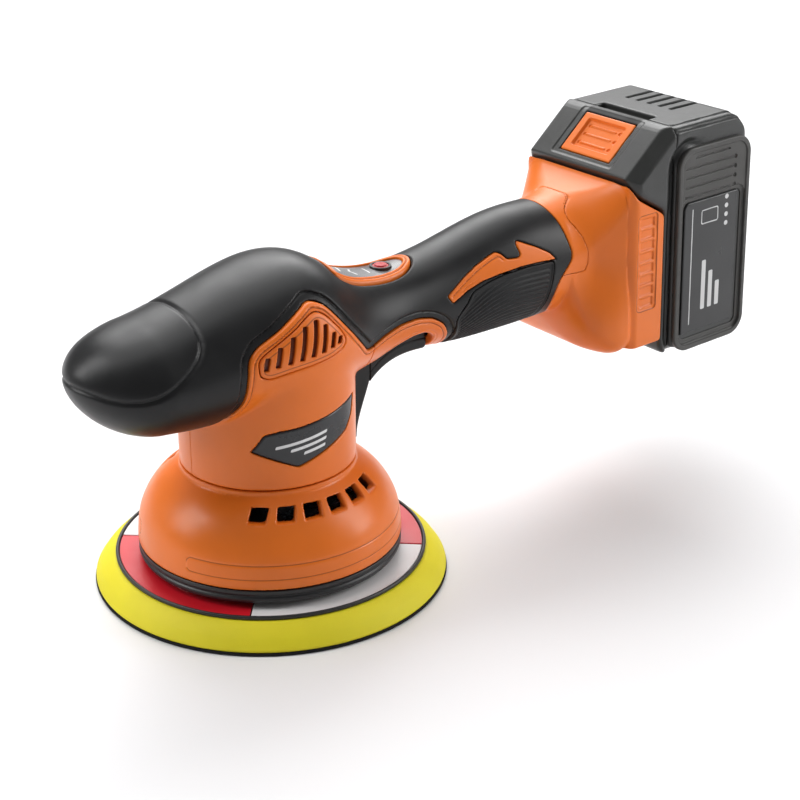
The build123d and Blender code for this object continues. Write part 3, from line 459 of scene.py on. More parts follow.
def f_surround(x, y, z):
    f = body(x, y, z)
    f = f + rim_of_window(WINDOW(x, z)) - 0.10
    f = shell(f, 4.0)
    f = f + groove(ARCH(x, z) - 1.5, 0.6, 0.25)
    return carve(f, (WINDOW(x, z) + 0.15, 0.7), (SURROUND_X - x, 0.2), (-ARCH(x, z) + 0.1, 0.8), (66 - z, 0.5))


def accent_line(x, z):
    """Distance to the line that runs inside the accent's upper edge."""
    upper = 111.8 + 0.36 * (x - 80.5) - z
    return smax(np.abs(ACCENT(x, z) + 1.5), smax(upper, x - 110, 0.5), 0.5)


def f_accent(x, y, z):
    b = ACCENT(x, z)
    f = shell(body(x, y, z) - 0.12 + groove(accent_line(x, z), 0.7, 0.35))
    return smax(f, b + 0.1, 0.5)


def rib_phase(x, y, z):
    """Arc length in millimetres round the lower handle from the ribs' upper edge; the ribs run lengthwise."""
    turn = np.arctan2(centre_at(x) - z, np.abs(y) + 1e-6)
    top = np.arctan2(centre_at(x) - (116.6 - 0.012 * np.maximum(118 - x, 0) ** 2), 22.6)
    return (turn - top) * 24.0


def f_ribbed(x, y, z):
    """Soft lower grip with fine lengthwise ribs inside a plain border."""
    b = RIBBED(x, z)
    ribs = 0.22 * np.cos(2 * np.pi * rib_phase(x, y, z) / 2.3) * step(-2.0, -2.8, b)
    f = body(x, y, z) + 0.3 * step(-0.6, -1.4, b) + ribs
    f = shell(f)
    return carve(f, (b + 0.1, 0.6), (0.1 - ACCENT(x, z), 0.5), (-screw_wells(x, y, z), 0.5))


# Slots of the side air inlet: (x at the bottom, bottom, x at the top, top).
VENT_SLOTS = [
    (-21.2, 108.4, -20.2, 112.4), (-16.4, 108.9, -14.7, 115.6), (-11.3, 109.4, -8.8, 118.6), (-6.3, 109.9, -3.0, 121.4),
    (-1.2, 110.4, 2.4, 122.8), (3.8, 111.0, 6.2, 120.4), (8.4, 111.8, 9.8, 116.6), (12.3, 112.4, 13.0, 114.2),
]


def vent_slots(x, z):
    distances = []
    for x0, z0, x1, z1 in VENT_SLOTS:
        t = np.clip((z - z0) / (z1 - z0), 0, 1)
        distances.append(rounded_box(x - x0 - t * (x1 - x0), z - z0 - t * (z1 - z0), 1.15, 0.6, 0.6))
    return np.minimum.reduce(distances)


def f_vent(x, y, z):
    f = smax(shell(body(x, y, z) - 0.05, SHELL + 1.0), VENT(x, z) + 0.12, 0.6)
    pocket = np.maximum(vent_slots(x, z), -(body(x, y, z) + 1.7))
    return smax(f, -pocket, 0.35)


def f_badge(x, y, z):
    return smax(shell(body(x, y, z) + 0.1), BADGE(x, z) + 0.15, 0.9)


STRIP_EDGE = curve([54, 58, 62, 67.5, 72, 76, 78.5, 84], [38.0, 38.1, 38.5, 39.6, 41.0, 42.5, 43.4, 45.4])
TRIGGER_EDGE = curve([42.6, 46.5, 50.5, 57, 66, 76], [78.4, 81.8, 84.4, 86.9, 88.0, 87.6])


def f_strip(x, y, z):
    """Strip down the back of the barrel, with a shallow channel along each edge."""
    edge = 11.6 + 1.2 * step(56, 72, z)
    f = x - STRIP_EDGE(z)
    f = f + groove(np.abs(y) - edge + 2.6, 0.8, 0.4)
    f = carve(f, (np.abs(y) - edge, 2.2), (x - 43.4, 0.3), (55.5 - z, 0.6))
    f = np.maximum(f, 27 - x)
    return np.maximum(f, -(body(x, y, z) + 1.5))


def trigger_line(x, y, z):
    """Height above the line that runs along the trigger's side."""
    return z - TRIGGER_EDGE(x) - 5.2


def f_trigger(x, y, z):
    f = TRIGGER_EDGE(x) - z
    f = f + groove(trigger_line(x, y, z), 0.8, 0.35)
    return carve(f, (np.abs(y) - 12.9 + groove(trigger_line(x, y, z), 0.8, 0.3), 2.2), (43.7 - x, 0.3),
                    (x - 73.6, 2.0), (z - 97.5, 1.0))


BEZEL_LINE = 1.9  # from the panel's outline to the line in its orange frame


def f_bezel(x, y, z):
    p = PANEL(x, y)
    f = body(x, y, z) - 0.75 + groove(p + BEZEL_LINE, 0.8, 0.4)
    f = shell(f, SHELL + 0.5)
    return carve(f, (p + 0.15, 1.1), (-p - 3.3, 0.7), (114 - z, 1.0))


def f_lens(x, y, z):
    p = PANEL(x, y)
    f = shell(body(x, y, z) + 0.25, 2.2)
    return carve(f, (p + 3.4, 0.4), (BUTTON_WELL - np.hypot(x - BUTTON[0], y - BUTTON[1]), 0.3), (114 - z, 1.0))


button_low, button_high = box_mm("power_button")
BUTTON = (button_low + button_high) / 2
BUTTON_WELL = box_mm("button_collar")[1][1] - 0.05


# ---------------- materials
class Surface:
    """A Principled material made of procedural nodes."""

    def __init__(self, name, **values):
        self.material = bpy.data.materials.new(name)
        self.material.use_nodes = True
        self.tree = self.material.node_tree
        self.shader = self.tree.nodes["Principled BSDF"]
        self.height = None
        for key, value in values.items():
            self.set(key.replace("_", " "), value)

    def node(self, kind, *inputs, **props):
        """Adds a node; inputs are values or sockets in order, None to skip one."""
        n = self.tree.nodes.new(kind)
        for key, value in props.items():
            setattr(n, key, value)
        for socket, value in zip(n.inputs, inputs):
            self.feed(socket, value)
        return n

    def feed(self, socket, value):
        if isinstance(value, bpy.types.NodeSocket):
            self.tree.links.new(value, socket)
        elif value is not None:
            socket.default_value = value

    def set(self, name, value):
        for socket in self.shader.inputs:
            if socket.name.lower() == name.lower():
                self.feed(socket, value)

    def math(self, operation, *inputs, clamp=False):
        return self.node("ShaderNodeMath", *inputs, operation=operation, use_clamp=clamp).outputs[0]

    def attribute(self, name):
        return self.node("ShaderNodeAttribute", attribute_name=name).outputs["Fac"]

    def where(self):
        return self.node("ShaderNodeTexCoord").outputs["Object"]

    def noise(self, scale, detail=4.0, stretch=(1, 1, 1)):
        """Noise in the object's own coordinates; scale is in cycles per metre."""
        mapping = self.node("ShaderNodeMapping", self.where())
        mapping.inputs["Scale"].default_value = stretch
        n = self.node("ShaderNodeTexNoise", mapping.outputs[0])
        n.inputs["Scale"].default_value = scale
        n.inputs["Detail"].default_value = detail
        return n.outputs["Fac"]

    def spread(self, value, low, high, to_low=0.0, to_high=1.0):
        """Maps low..high to to_low..to_high, held at the ends."""
        return self.node("ShaderNodeMapRange", value, low, high, to_low, to_high).outputs[0]

    def mix(self, factor, a, b):
        n = self.node("ShaderNodeMix", data_type="RGBA")
        for socket, value in zip((n.inputs[0], n.inputs[6], n.inputs[7]), (factor, a, b)):
            self.feed(socket, value)
        return n.outputs[2]

    def line(self, name, width):
        """1 on a stored distance's zero line, falling to 0 at width (mm)."""
        return self.spread(self.math("ABSOLUTE", self.attribute(name)), 0.0, width, 1.0, 0.0)

    def over(self, factor, colour):
        """Mixes a colour over the base colour made so far."""
        base = self.shader.inputs["Base Color"].links[0].from_socket
        self.set("base color", self.mix(factor, base, colour))

    def bump(self, height, distance):
        """Adds relief; distance is the depth in metres of a full step of height."""
        n = self.node("ShaderNodeBump")
        n.inputs["Strength"].default_value = 1.0
        n.inputs["Distance"].default_value = distance
        self.feed(n.inputs["Height"], height)
        if self.height is not None:
            self.feed(n.inputs["Normal"], self.height)
        self.height = n.outputs[0]
        self.set("Normal", self.height)


def tone(colour, factor):
    return tuple(c * factor for c in colour[:3]) + (1,)


def plastic(name, colour, rough, grain=0.00002, grain_scale=2600, drift=0.06, wear=0.06, seam=None, **values):
    """Moulded plastic or rubber: fine grain, patchy gloss, slight drift of tone, and painted shade along seams and
    grooves.
    seam is (attribute, width in mm, darkness) of that painted shade, which darkens the colour along the line where
    shade falls in grooves, recesses and joins."""
    s = Surface(name, **values)
    patch = s.noise(28, 5.0)
    fine = s.noise(grain_scale, 2.0)
    body_tone = s.mix(s.spread(patch, 0.3, 0.7), tone(colour, 1 - drift), tone(colour, 1 + drift))
    specks = s.spread(s.noise(900, 3.0), 0.66, 0.8)
    body_tone = s.mix(s.math("MULTIPLY", specks, 0.12), body_tone, tone(colour, 0.6))
    if seam:
        # painted shade: the colour is darkened along the stored seam line, standing in for the shade in grooves,
        # recesses and joins
        dark = s.math("MULTIPLY", s.line(seam[0], seam[1]), seam[2])
        body_tone = s.mix(dark, body_tone, tone(colour, 0.12))
    s.set("base color", body_tone)
    gloss = s.spread(s.noise(70, 6.0), 0.3, 0.72, rough - wear, rough + wear)
    if seam:
        gloss = s.math("ADD", gloss, s.math("MULTIPLY", dark, 0.4), clamp=True)
    s.set("roughness", gloss)
    s.bump(fine, grain)
    s.bump(s.noise(140, 2.0), 0.00003)
    return s


ORANGE = (0.82, 0.175, 0.014)
SHINE = {"specular_ior_level": 0.4, "coat_weight": 0.05, "coat_roughness": 0.15}  # of the orange plastic
RUBBER = (0.0085, 0.0085, 0.0092)

# The seam settings paint shade into the colour along each piece's grooves, recesses and joins.
orange = plastic("orange_plastic", ORANGE, 0.34, seam=("seam", 0.35, 0.75), **SHINE)
orange_plain = plastic("orange_plain", ORANGE, 0.34, **SHINE)
rubber = plastic("black_rubber", RUBBER, 0.37, grain=0.00003, seam=("seam", 0.35, 0.6), specular_ior_level=0.33)
ribbed = plastic("ribbed_rubber", RUBBER, 0.5, grain=0.00004, specular_ior_level=0.3)
black_plain = plastic("black_plain", (0.014, 0.014, 0.015), 0.4)
shell_grey = plastic("battery_shell", (0.026, 0.027, 0.026), 0.36, grain=0.00005, grain_scale=1800,
                     seam=("seam", 0.5, 0.85))
panel_grey = plastic("battery_panel", (0.052, 0.050, 0.047), 0.5, grain=0.00004, grain_scale=1800,
                     seam=("seam", 0.3, 0.6))


def vent_material():
    """Orange frame with painted shade that darkens its slots to dark brown the deeper they go."""
    s = plastic("side_vent", ORANGE, 0.36, seam=("seam", 0.4, 0.7))
    # painted shade: the colour goes to dark brown with depth below the surface, standing in for shade in the slots
    recess_shade = s.spread(s.attribute("depth"), 0.3, 1.3)
    s.over(recess_shade, (0.16, 0.03, 0.006, 1))
    return s


def marked(name, colour, rough, mark_colour, **values):
    """Dark plate with a printed mark; the mark's outline is the stored distance 'mark'."""
    s = plastic(name, colour, rough, grain=0.00001, **values)
    ink = s.spread(s.attribute("mark"), -0.06, 0.06, 1.0, 0.0)
    s.over(ink, mark_colour)
    return s


def foam_material():
    """Moulded polyurethane foam: bright yellow with fine closed cells."""
    s = Surface("yellow_foam", roughness=0.62, subsurface_weight=0.15)
    s.set("subsurface radius", (0.004, 0.003, 0.0008))
    s.set("subsurface scale", 0.35)
    cells = s.node("ShaderNodeTexVoronoi", s.where())
    cells.inputs["Scale"].default_value = 2600
    pores = s.spread(cells.outputs["Distance"], 0.0, 0.55)
    patch = s.spread(s.noise(35, 5.0), 0.3, 0.7)
    yellow = s.mix(patch, (0.72, 0.63, 0.006, 1), (0.80, 0.70, 0.008, 1))
    s.set("base color", s.mix(s.spread(pores, 0.0, 0.3, 0.25, 0.0), yellow, (0.42, 0.38, 0.01, 1)))
    s.bump(pores, 0.00005)
    s.bump(s.noise(300, 3.0), 0.00008)
    return s


def hook_material():
    """Hook fastener: dense short pile."""
    s = Surface("hook", roughness=0.8, specular_ior_level=0.2)
    pile = s.noise(3800, 2.0)
    s.set("base color", s.mix(s.spread(pile, 0.35, 0.65), (0.006, 0.006, 0.007, 1), (0.016, 0.016, 0.018, 1)))
    s.bump(pile, 0.0004)
    return s


def painted(name, colour):
    """Painted face of the backing plate with faint wear."""
    return plastic(name, colour, 0.4, grain=0.00001, drift=0.03)


def metal(name, colour, rough, stretch=(1, 1, 30), scale=60, bump=0.00001, metallic=1.0):
    """Turned or brushed metal with fine tool lines."""
    s = Surface(name, metallic=metallic)
    lines = s.noise(scale, 6.0, stretch)
    s.set("base color", s.mix(s.spread(lines, 0.3, 0.7), tone(colour, 0.82), tone(colour, 1.08)))
    s.set("roughness", s.spread(s.noise(90, 4.0), 0.3, 0.7, rough - 0.08, rough + 0.1))
    s.bump(lines, bump)
    return s


def layered(name, a, b, cycles, axis, metallic, rough):
    """Stacked sheets or wound wire: bands across one axis, cycles per metre."""
    s = Surface(name, metallic=metallic, roughness=rough)
    w = s.node("ShaderNodeTexWave", s.where(), wave_type="BANDS", bands_direction=axis)
    w.inputs["Scale"].default_value = cycles / 3.2
    w.inputs["Distortion"].default_value = 0.6
    s.set("base color", s.mix(w.outputs["Fac"], (*a, 1), (*b, 1)))
    s.bump(w.outputs["Fac"], 0.0002)
    return s


def board_material():
    """Solder mask with pads and traces."""
    s = Surface("circuit_board", roughness=0.35)
    brick = s.node("ShaderNodeTexBrick", s.where(), (0.012, 0.10, 0.035, 1), (0.016, 0.13, 0.045, 1),
                   (0.3, 0.2, 0.06, 1))
    brick.inputs["Scale"].default_value = 220
    brick.inputs["Mortar Size"].default_value = 0.02
    s.set("base color", s.mix(s.spread(s.noise(500, 1.0), 0.6, 0.64), brick.outputs["Color"], (0.35, 0.34, 0.32, 1)))
    s.bump(brick.outputs["Fac"], 0.0001)
    return s


def cell_material():
    """Shrink wrap on a round cell: blue film with faint creases."""
    s = plastic("cell_wrap", (0.02, 0.09, 0.26), 0.28, grain=0.00001)
    s.bump(s.noise(30, 4.0, (1, 6, 1)), 0.0002)
    return s


MATERIALS = {
    "orange_plastic": orange_plain,
    "black_rubber": black_plain,
    "black_plastic": plastic("black_plastic", (0.016, 0.016, 0.017), 0.38),
    "dark_plate": black_plain,
    "lens": black_plain,
    "red_button": plastic("red_button", (0.60, 0.07, 0.08), 0.24, coat_weight=0.4, coat_roughness=0.1),
    "battery_shell": shell_grey,
    "battery_panel": panel_grey,
    "label": black_plain,
    "yellow_foam": foam_material(),
    "hook": hook_material(),
    "pad_white": painted("pad_white", (0.80, 0.78, 0.78)),
    "pad_red": painted("pad_red", (0.66, 0.010, 0.022)),
    "pad_black": plastic("pad_black", (0.014, 0.014, 0.014), 0.45, grain=0.00004),
    "steel": metal("steel", (0.56, 0.57, 0.60), 0.26),
    "lamination": layered("lamination", (0.16, 0.165, 0.18), (0.32, 0.33, 0.35), 2000, "Z", 0.9, 0.42),
    "copper": layered("copper", (0.30, 0.09, 0.03), (0.62, 0.24, 0.10), 1400, "Z", 0.9, 0.34),
    "magnet": metal("magnet", (0.20, 0.20, 0.22), 0.42),
    "aluminium": metal("aluminium", (0.62, 0.63, 0.64), 0.42, stretch=(1, 1, 1), scale=500, bump=0.00004),
    "fan_plastic": plastic("fan_plastic", (0.02, 0.02, 0.022), 0.45),
    "brass": metal("brass", (0.72, 0.50, 0.20), 0.28),
    "circuit_board": board_material(),
    "lead_sleeve": plastic("lead_sleeve", (0.35, 0.012, 0.01), 0.4),
    "cell_wrap": cell_material(),
    "white_plastic": plastic("white_plastic", (0.70, 0.69, 0.66), 0.45),
}
for node_name, obj in frame["nodes"].items():
    obj.data.materials.clear()
    obj.data.materials.append(MATERIALS[SLOT_OF[node_name]].material)


# ---------------- head, neck and handle
def both_sides(name, field, low, high, pitch, surface, reach=2.2, body_name="housing", nodes=None, **stored):
    """Piece with its mirror image across Y = 0; its low and high corners are those of the -Y side. Walls deeper than
    reach are left out."""
    build(name, field, low, high, pitch, surface, body_name, nodes, outer_half(reach), True, **stored)


def rim_line(x, y, z):
    return WINDOW(x, z) + RIM


# Each seam below is the line along which the material paints shade into the colour: lips, rims, channels and joins.
build("rubber_cover", f_cover, (-90, -38, 78), (147, 38, 144), 0.65, rubber, "housing", keep=outer_half(2.2),
      seam=lambda x, y, z: window(x, y, z) - LIP + 0.1)
both_sides("housing_shells", f_housing, (-42, -39, 54), (40, 0.5, 133), 0.65, orange, 2.3,
           nodes=["housing_left", "housing_right"], seam=rim_line)
both_sides("trigger_surround", f_surround, (36, -28, 64), (85, 0.01, 108), 0.6, orange, 3.6, seam=rim_line)
both_sides("handle_accents", f_accent, (74, -27, 106), (140, -8, 130), 0.55, orange,
           seam=lambda x, y, z: accent_line(x, z))
build("ribbed_grip", f_ribbed, (80, -27, 80), (140, 27, 120), 0.5, ribbed, "housing", keep=outer_half(2.2))
# depth feeds the painted shade that darkens the vent's slots; seam feeds the painted shade along its edge.
both_sides("side_vents", f_vent, (-26, -40, 101), (19, -20, 129), 0.4, vent_material(), 3.2,
           seam=lambda x, y, z: VENT(x, z) + 1.7, depth=lambda x, y, z: -body(x, y, z))


def badge_mark(x, y, z):
    """Three slanted bars of falling length, as printed on the dark plates."""
    bars = []
    for x0, z0, length in ((-6.0, 75.2, 11.0), (-3.4, 72.9, 8.0), (-1.0, 70.6, 5.0)):
        dz = z - z0 - 0.155 * (x - x0)
        bars.append(rounded_box(x - x0 - 0.35 * dz, dz, length, 0.62, 0.3))
    return np.minimum.reduce(bars)


badge = marked("dark_plate", (0.022, 0.023, 0.026), 0.3, (0.75, 0.75, 0.76, 1))
both_sides("badge_plates", f_badge, (-28, -40, 62), (27, -20, 90), 0.42, badge, mark=badge_mark)
build("rear_strip", f_strip, (25, -15, 54), (46, 15, 90), 0.6, rubber, "housing",
      seam=lambda x, y, z: np.abs(y) - 9.8)
build("trigger", f_trigger, (42, -15, 80), (78, 15, 99), 0.55, rubber, "trigger_lever", seam=trigger_line)
build("panel_bezel", f_bezel, (23, -17, 112), (75, 17, 138), 0.45, orange, "housing", keep=outer_half(2.6),
      seam=lambda x, y, z: PANEL(x, y) + BEZEL_LINE)


def lens_material():
    """Grey panel with fine rings round the button and a printed chevron."""
    s = marked("lens", (0.15, 0.15, 0.155), 0.34, (0.78, 0.78, 0.78, 1), coat_weight=0.3, coat_roughness=0.15)
    rings = s.math("SINE", s.math("MULTIPLY", s.attribute("ring"), 2 * math.pi / 0.9))
    s.bump(rings, 0.00004)
    return s


def lens_mark(x, y, z):
    """Slanting bar, chevron and short rule in front of the button."""
    bar = rounded_box(x - 36.5 - 0.35 * y, y - 1.0, 0.55, 5.0, 0.2)
    arm = rounded_box(x - 41.0 - 0.6 * np.abs(y + 2.0), np.maximum(np.abs(y + 2.0) - 3.0, 0), 0.5, 0.3, 0.2)
    rule = rounded_box(x - 50.2, y + 1.0, 0.35, 3.0, 0.1)
    return np.minimum.reduce([bar, arm, rule])


build("panel_lens", f_lens, (24, -15, 112), (73, 15, 137), 0.45, lens_material(), "housing", keep=outer_half(2.2),
      mark=lens_mark, ring=lambda x, y, z: np.hypot(x - BUTTON[0], y))


# ---------------- bell-shaped skirt with its air outlets
SKIRT_PROFILE = [(52.6, 37.0), (48.8, 42.6), (44.6, 47.2), (39.4, 51.0), (33.4, 53.7), (27.0, 55.0), (20.6, 55.4)]
skirt_radius = curve([p[0] for p in SKIRT_PROFILE[::-1]], [p[1] for p in SKIRT_PROFILE[::-1]])
OUTLETS = -128.6, 14.6, 6  # angle of the first, step and number on each side
OUTLET_Z = 47.5


def skirt(x, y, z):
    """Outer surface of the bell."""
    incline = (skirt_radius(z + 0.2) - skirt_radius(z - 0.2)) / 0.4
    bell = (np.hypot(x, y) - skirt_radius(z)) / np.sqrt(1 + incline**2)
    return smin(np.maximum(bell, z - SKIRT_PROFILE[0][0]), np.hypot(x, y) - 36.75, 0.8)


def outlets(x, y, z):
    """Slanting air outlets, the same on both sides."""
    angle = np.degrees(np.arctan2(-np.abs(y), x))
    start, pitch, number = OUTLETS
    nearest = np.clip(np.round((angle - start) / pitch), 0, number - 1)
    across = np.radians(angle - start - nearest * pitch) * skirt_radius(z) - 0.3 * (z - OUTLET_Z)
    return rounded_box(across, (z - OUTLET_Z) * 1.3, 3.7, 2.9, 0.6)


def skirt_lines(x, y, z):
    """Rounded double line low on the skirt that starts at the front and runs round the back."""
    angle = np.radians(np.mod(np.degrees(np.arctan2(y, x)) + 161, 360))
    return rounded_box(angle * 55 - 154.5, z - 28.0, 154.5, 2.9, 2.9)


def f_skirt(x, y, z):
    s = skirt(x, y, z)
    f = s + groove(skirt_lines(x, y, z), 0.9, 0.25)
    f = np.maximum(f, -s - 3.0)
    return carve(f, (SKIRT_BOTTOM - z, 0.8), (z - SKIRT_TOP, 0.5), (-outlets(x, y, z), 0.8))


def skirt_material():
    """Orange with painted shade that darkens the reveals of the outlets the deeper they go."""
    s = plastic("skirt_orange", ORANGE, 0.34, seam=("seam", 0.35, 0.7), **SHINE)
    # painted shade: the colour darkens with depth in the outlets, standing in for shade in the reveals
    recess_shade = s.spread(s.attribute("depth"), 0.5, 3.0)
    s.over(recess_shade, tone(ORANGE, 0.3))
    return s


# seam and depth feed the painted shade along the skirt's grooves and in its outlets.
build("skirt_housing", f_skirt, (-58, -58, 19), (58, 58, 56), 0.8, skirt_material(), "housing", seam=skirt_lines,
      depth=lambda x, y, z: -skirt(x, y, z))


# ---------------- turned pieces
def lathe(name, profile, surface, body_name, centre=(0, 0), rounding=0.4):
    """Solid of revolution about an upright axis from a closed (radius, z) outline."""
    p = rounded(profile, rounding)
    segments = int(256 / FINE)
    turn = np.linspace(0, 2 * math.pi, segments, endpoint=False)
    x = centre[0] + p[:, 0][:, None] * np.cos(turn)
    y = centre[1] + p[:, 0][:, None] * np.sin(turn)
    z = np.repeat(p[:, 1][:, None], segments, 1)
    points = np.stack([x, y, z], -1).reshape(-1, 3)
    i, j = np.meshgrid(np.arange(len(p)), np.arange(segments), indexing="ij")
    a, b = i * segments + j, ((i + 1) % len(p)) * segments + j
    c, d = ((i + 1) % len(p)) * segments + (j + 1) % segments, i * segments + (j + 1) % segments
    quads = np.stack([a, d, c, b], -1).reshape(-1, 4)
    solid_piece(name, points, quads, surface, body_name)


def solid_piece(name, points, faces, surface, body_name):
    """Piece from explicit points (mm) and faces, smooth except at sharp edges."""
    mesh = bpy.data.meshes.new(name)
    mesh.from_pydata((np.array(points) * MM).tolist(), [], [list(f) for f in faces])
    bm = bmesh.new()
    bm.from_mesh(mesh)
    bmesh.ops.recalc_face_normals(bm, faces=bm.faces)
    bm.to_mesh(mesh)
    bm.free()
    mesh.polygons.foreach_set("use_smooth", np.ones(len(mesh.polygons), bool))
    mesh.set_sharp_from_angle(angle=math.radians(50))
    place(name, mesh, surface, body_name, None)


PAD_AT = tuple(PAD[:2])
lathe("skirt_shroud", [(49.2, 14.7), (54.6, 14.7), (55.3, 16.0), (55.3, 17.0), (54.7, 17.5), (54.7, 18.0), (55.3, 18.5),
                       (55.3, 20.3), (49.2, 20.3)], MATERIALS["black_rubber"], "housing")
lathe("hook_face", [(0.5, 0.02), (PAD_R - 0.5, 0.02), (PAD_R - 0.05, 0.4), (PAD_R - 0.05, 1.0), (PAD_R - 0.5, 1.4),
                    (0.5, 1.4)], MATERIALS["hook"], "pad", PAD_AT)
lathe("pad_foam", [(24, 1.45), (PAD_R - 0.6, 1.45), (PAD_R - 0.3, 2.4), (PAD_R - 3.2, 6.6), (PAD_R - 6.2, 9.4),
                   (PAD_R - 8.6, 10.95), (64.6, 10.95), (64.6, 9.45), (24, 9.45)], MATERIALS["yellow_foam"], "pad",
      PAD_AT, rounding=1.2)
lathe("pad_edge_ring", [(64.35, 11.0), (65.8, 11.0), (65.9, 12.2), (65.5, 12.75), (64.8, 12.75), (64.35, 12.2)],
      MATERIALS["pad_black"], "pad", PAD_AT)


def sectors(name, starts, surface):
    """Painted quarters of the plate: thin slabs with a soft edge, drawn on a polar grid."""
    points, faces = [], []
    radii = [22, 22.2, 30, 40, 50, 58, 63.9, 64.1, 64.15]
    n = len(radii)
    for start in starts:
        angles = np.radians(start + np.concatenate([[0.3, 0.45], np.linspace(1, 89, 60), [89.55, 89.7]]))
        base, m = len(points), len(angles)
        for level, fall in ((12.08, 0.12), (11.62, 0)):  # the top's edge falls away
            for i, r in enumerate(radii):
                for j, a in enumerate(angles):
                    low = fall if i in (0, n - 1) or j in (0, m - 1) else 0
                    points.append((PAD[0] + r * math.cos(a), PAD[1] + r * math.sin(a), level - low))
        for first in (base, base + n * m):
            for k in (first + i * m + j for i in range(n - 1) for j in range(m - 1)):
                faces.append((k, k + m, k + m + 1, k + 1))
        loop = list(range(m)) + [i * m + m - 1 for i in range(1, n)]
        loop += [(n - 1) * m + j for j in range(m - 2, -1, -1)] + [i * m for i in range(n - 2, 0, -1)]
        for a, b in zip(loop, loop[1:] + loop[:1]):
            faces.append((base + a, base + b, base + b + n * m, base + a + n * m))
    solid_piece(name, points, faces, surface, "pad")


sectors("red_sectors", (139, 319), MATERIALS["pad_red"])
sectors("white_sectors", (49, 229), MATERIALS["pad_white"])


# ---------------- battery end
def uw(x, z):
    """Leaning coordinates of a point: rearwards and up."""
    dx, dz = x - REAR[0], z - REAR[2]
    return dx * U_AXIS[0] + dz * U_AXIS[2], dx * W_AXIS[0] + dz * W_AXIS[2]


FLARE_X = [145.0, 148.5, 152.0, 156.0, 161.0, 166.0, 169.5]
flare_top = curve(FLARE_X, [138.0, 138.4, 139.0, 139.8, 141.6, 144.0, 146.2])
flare_bottom = curve(FLARE_X, [85.8, 79.0, 73.4, 70.6, 68.8, 68.2, 69.2])
flare_width = curve(FLARE_X, [24.4, 24.6, 25.0, 25.8, 28.4, 31.4, 33.4])
flare_corner = curve(FLARE_X, [24.2, 24.2, 24.0, 22.0, 18.0, 14.0, 11.0])
foot_width = curve(FLARE_X, [24.4, 25.6, 28.4, 31.6, 34.2, 35.6, 36.0])  # half width low down
foot_corner = curve(FLARE_X, [24.2, 19.0, 14.0, 11.0, 9.0, 8.0, 8.0])


def flare(x, y, z):
    """Trumpet from the round handle to the upright plate behind it."""
    lean = np.clip((x - 145) / 24.5, 0, 1)
    t = x + lean * (z - 108) * U_AXIS[2]
    top, bottom = flare_top(t), flare_bottom(t)
    below = step(114, 82, z)
    wide = flare_width(t) * (1 - below) + foot_width(t) * below
    corner = flare_corner(t) * (1 - below) + foot_corner(t) * below
    d = rounded_box(y, z - (top + bottom) / 2, wide, (top - bottom) / 2, corner)
    opening = (flare_width(t + 0.3) - flare_width(t - 0.3)) * (1 - below)
    opening = opening + below * (flare_bottom(t - 0.3) - flare_bottom(t + 0.3))
    return d / np.sqrt(1 + (opening / 0.6) ** 2)


def trumpet(x, y, z):
    """Surface behind the cover's end: the handle's own, passing into the flare."""
    share = step(142.5, 146.5, x)
    return body(x, y, z) * (1 - share) + flare(x, y, z) * share


COLLAR = Outline(rounded([
    (130, 109.2), (152.0, 109.4), (153.6, 112.5), (153.8, 118.2), (151.8, 125), (148.3, 131.8), (149.4, 134.6),
    (152.6, 137), (156, 139), (156, 152), (130, 152),
], 1.5))
BLOCK_SIDE = Outline(rounded([(-1.0, -37.4), (1.0, -38.2), (19.0, -38.2), (19.0, 22.3), (3.0, 32.3), (-0.9, 38.8),
                              (-1.0, 37.0)], 2.0))
LADDER = 3.2, 14.8, -20.8, 24.6, 8  # u from, u to, w from, w to, number of cells


def ladder(u, w):
    """Inset field with a row of cells on both flanks: depth below the flank, and distance to the field's outline."""
    u0, u1, w0, w1, number = LADDER
    frame_distance = rounded_box(u - (u0 + u1) / 2, w - (w0 + w1) / 2, (u1 - u0) / 2, (w1 - w0) / 2, 1.8)
    cell = (w1 - w0 - 2.4) / number
    k = np.clip(np.floor((w - w0 - 1.2) / cell), 0, number - 1)
    centre = w0 + 1.2 + (k + 0.5) * cell
    pane = rounded_box(u - (u0 + u1) / 2, w - centre, (u1 - u0) / 2 - 1.5, cell / 2 - 0.55, 0.8)
    return 0.45 * step(0.1, -0.5, frame_distance) + 0.75 * step(0.15, -0.55, pane), frame_distance


def receptacle(x, y, z):
    u, w = uw(x, z)
    edge = np.clip((4.0 - u) / 5.0, 0, 1)
    block = smax(BLOCK_SIDE(u, w), np.abs(y) - BATTERY_Y + 5.0 * (1 - np.sqrt(1 - 0.98 * edge**2)), 1.2)
    f = smin(smax(trumpet(x, y, z), u - 0.5, 3.0), block, 1.6)
    inset = ladder(u, w)[0] * step(BATTERY_Y - 3, BATTERY_Y - 1.0, np.abs(y))
    return f + inset


def f_receptacle(x, y, z):
    u, w = uw(x, z)
    f = receptacle(x, y, z)
    wide = np.maximum(smax(np.abs(y) - 20, -(w + 28), 0.5), np.abs(u - 11.55) - 3.05)
    narrow = np.maximum(smax(np.abs(y) - 15.5, -(w + 28), 0.5), 13 - u)
    return carve(f, (-np.minimum(wide, narrow), 0.5), (0.05 - COLLAR(x, z), 0.25), (COVER_END(z) + 0.1 - x, 0.5))


def f_collar(x, y, z):
    f = smax(trumpet(x, y, z), COLLAR(x, z) + 0.05, 0.25)
    return smax(f, COVER_END(z) + 0.1 - x, 0.5)


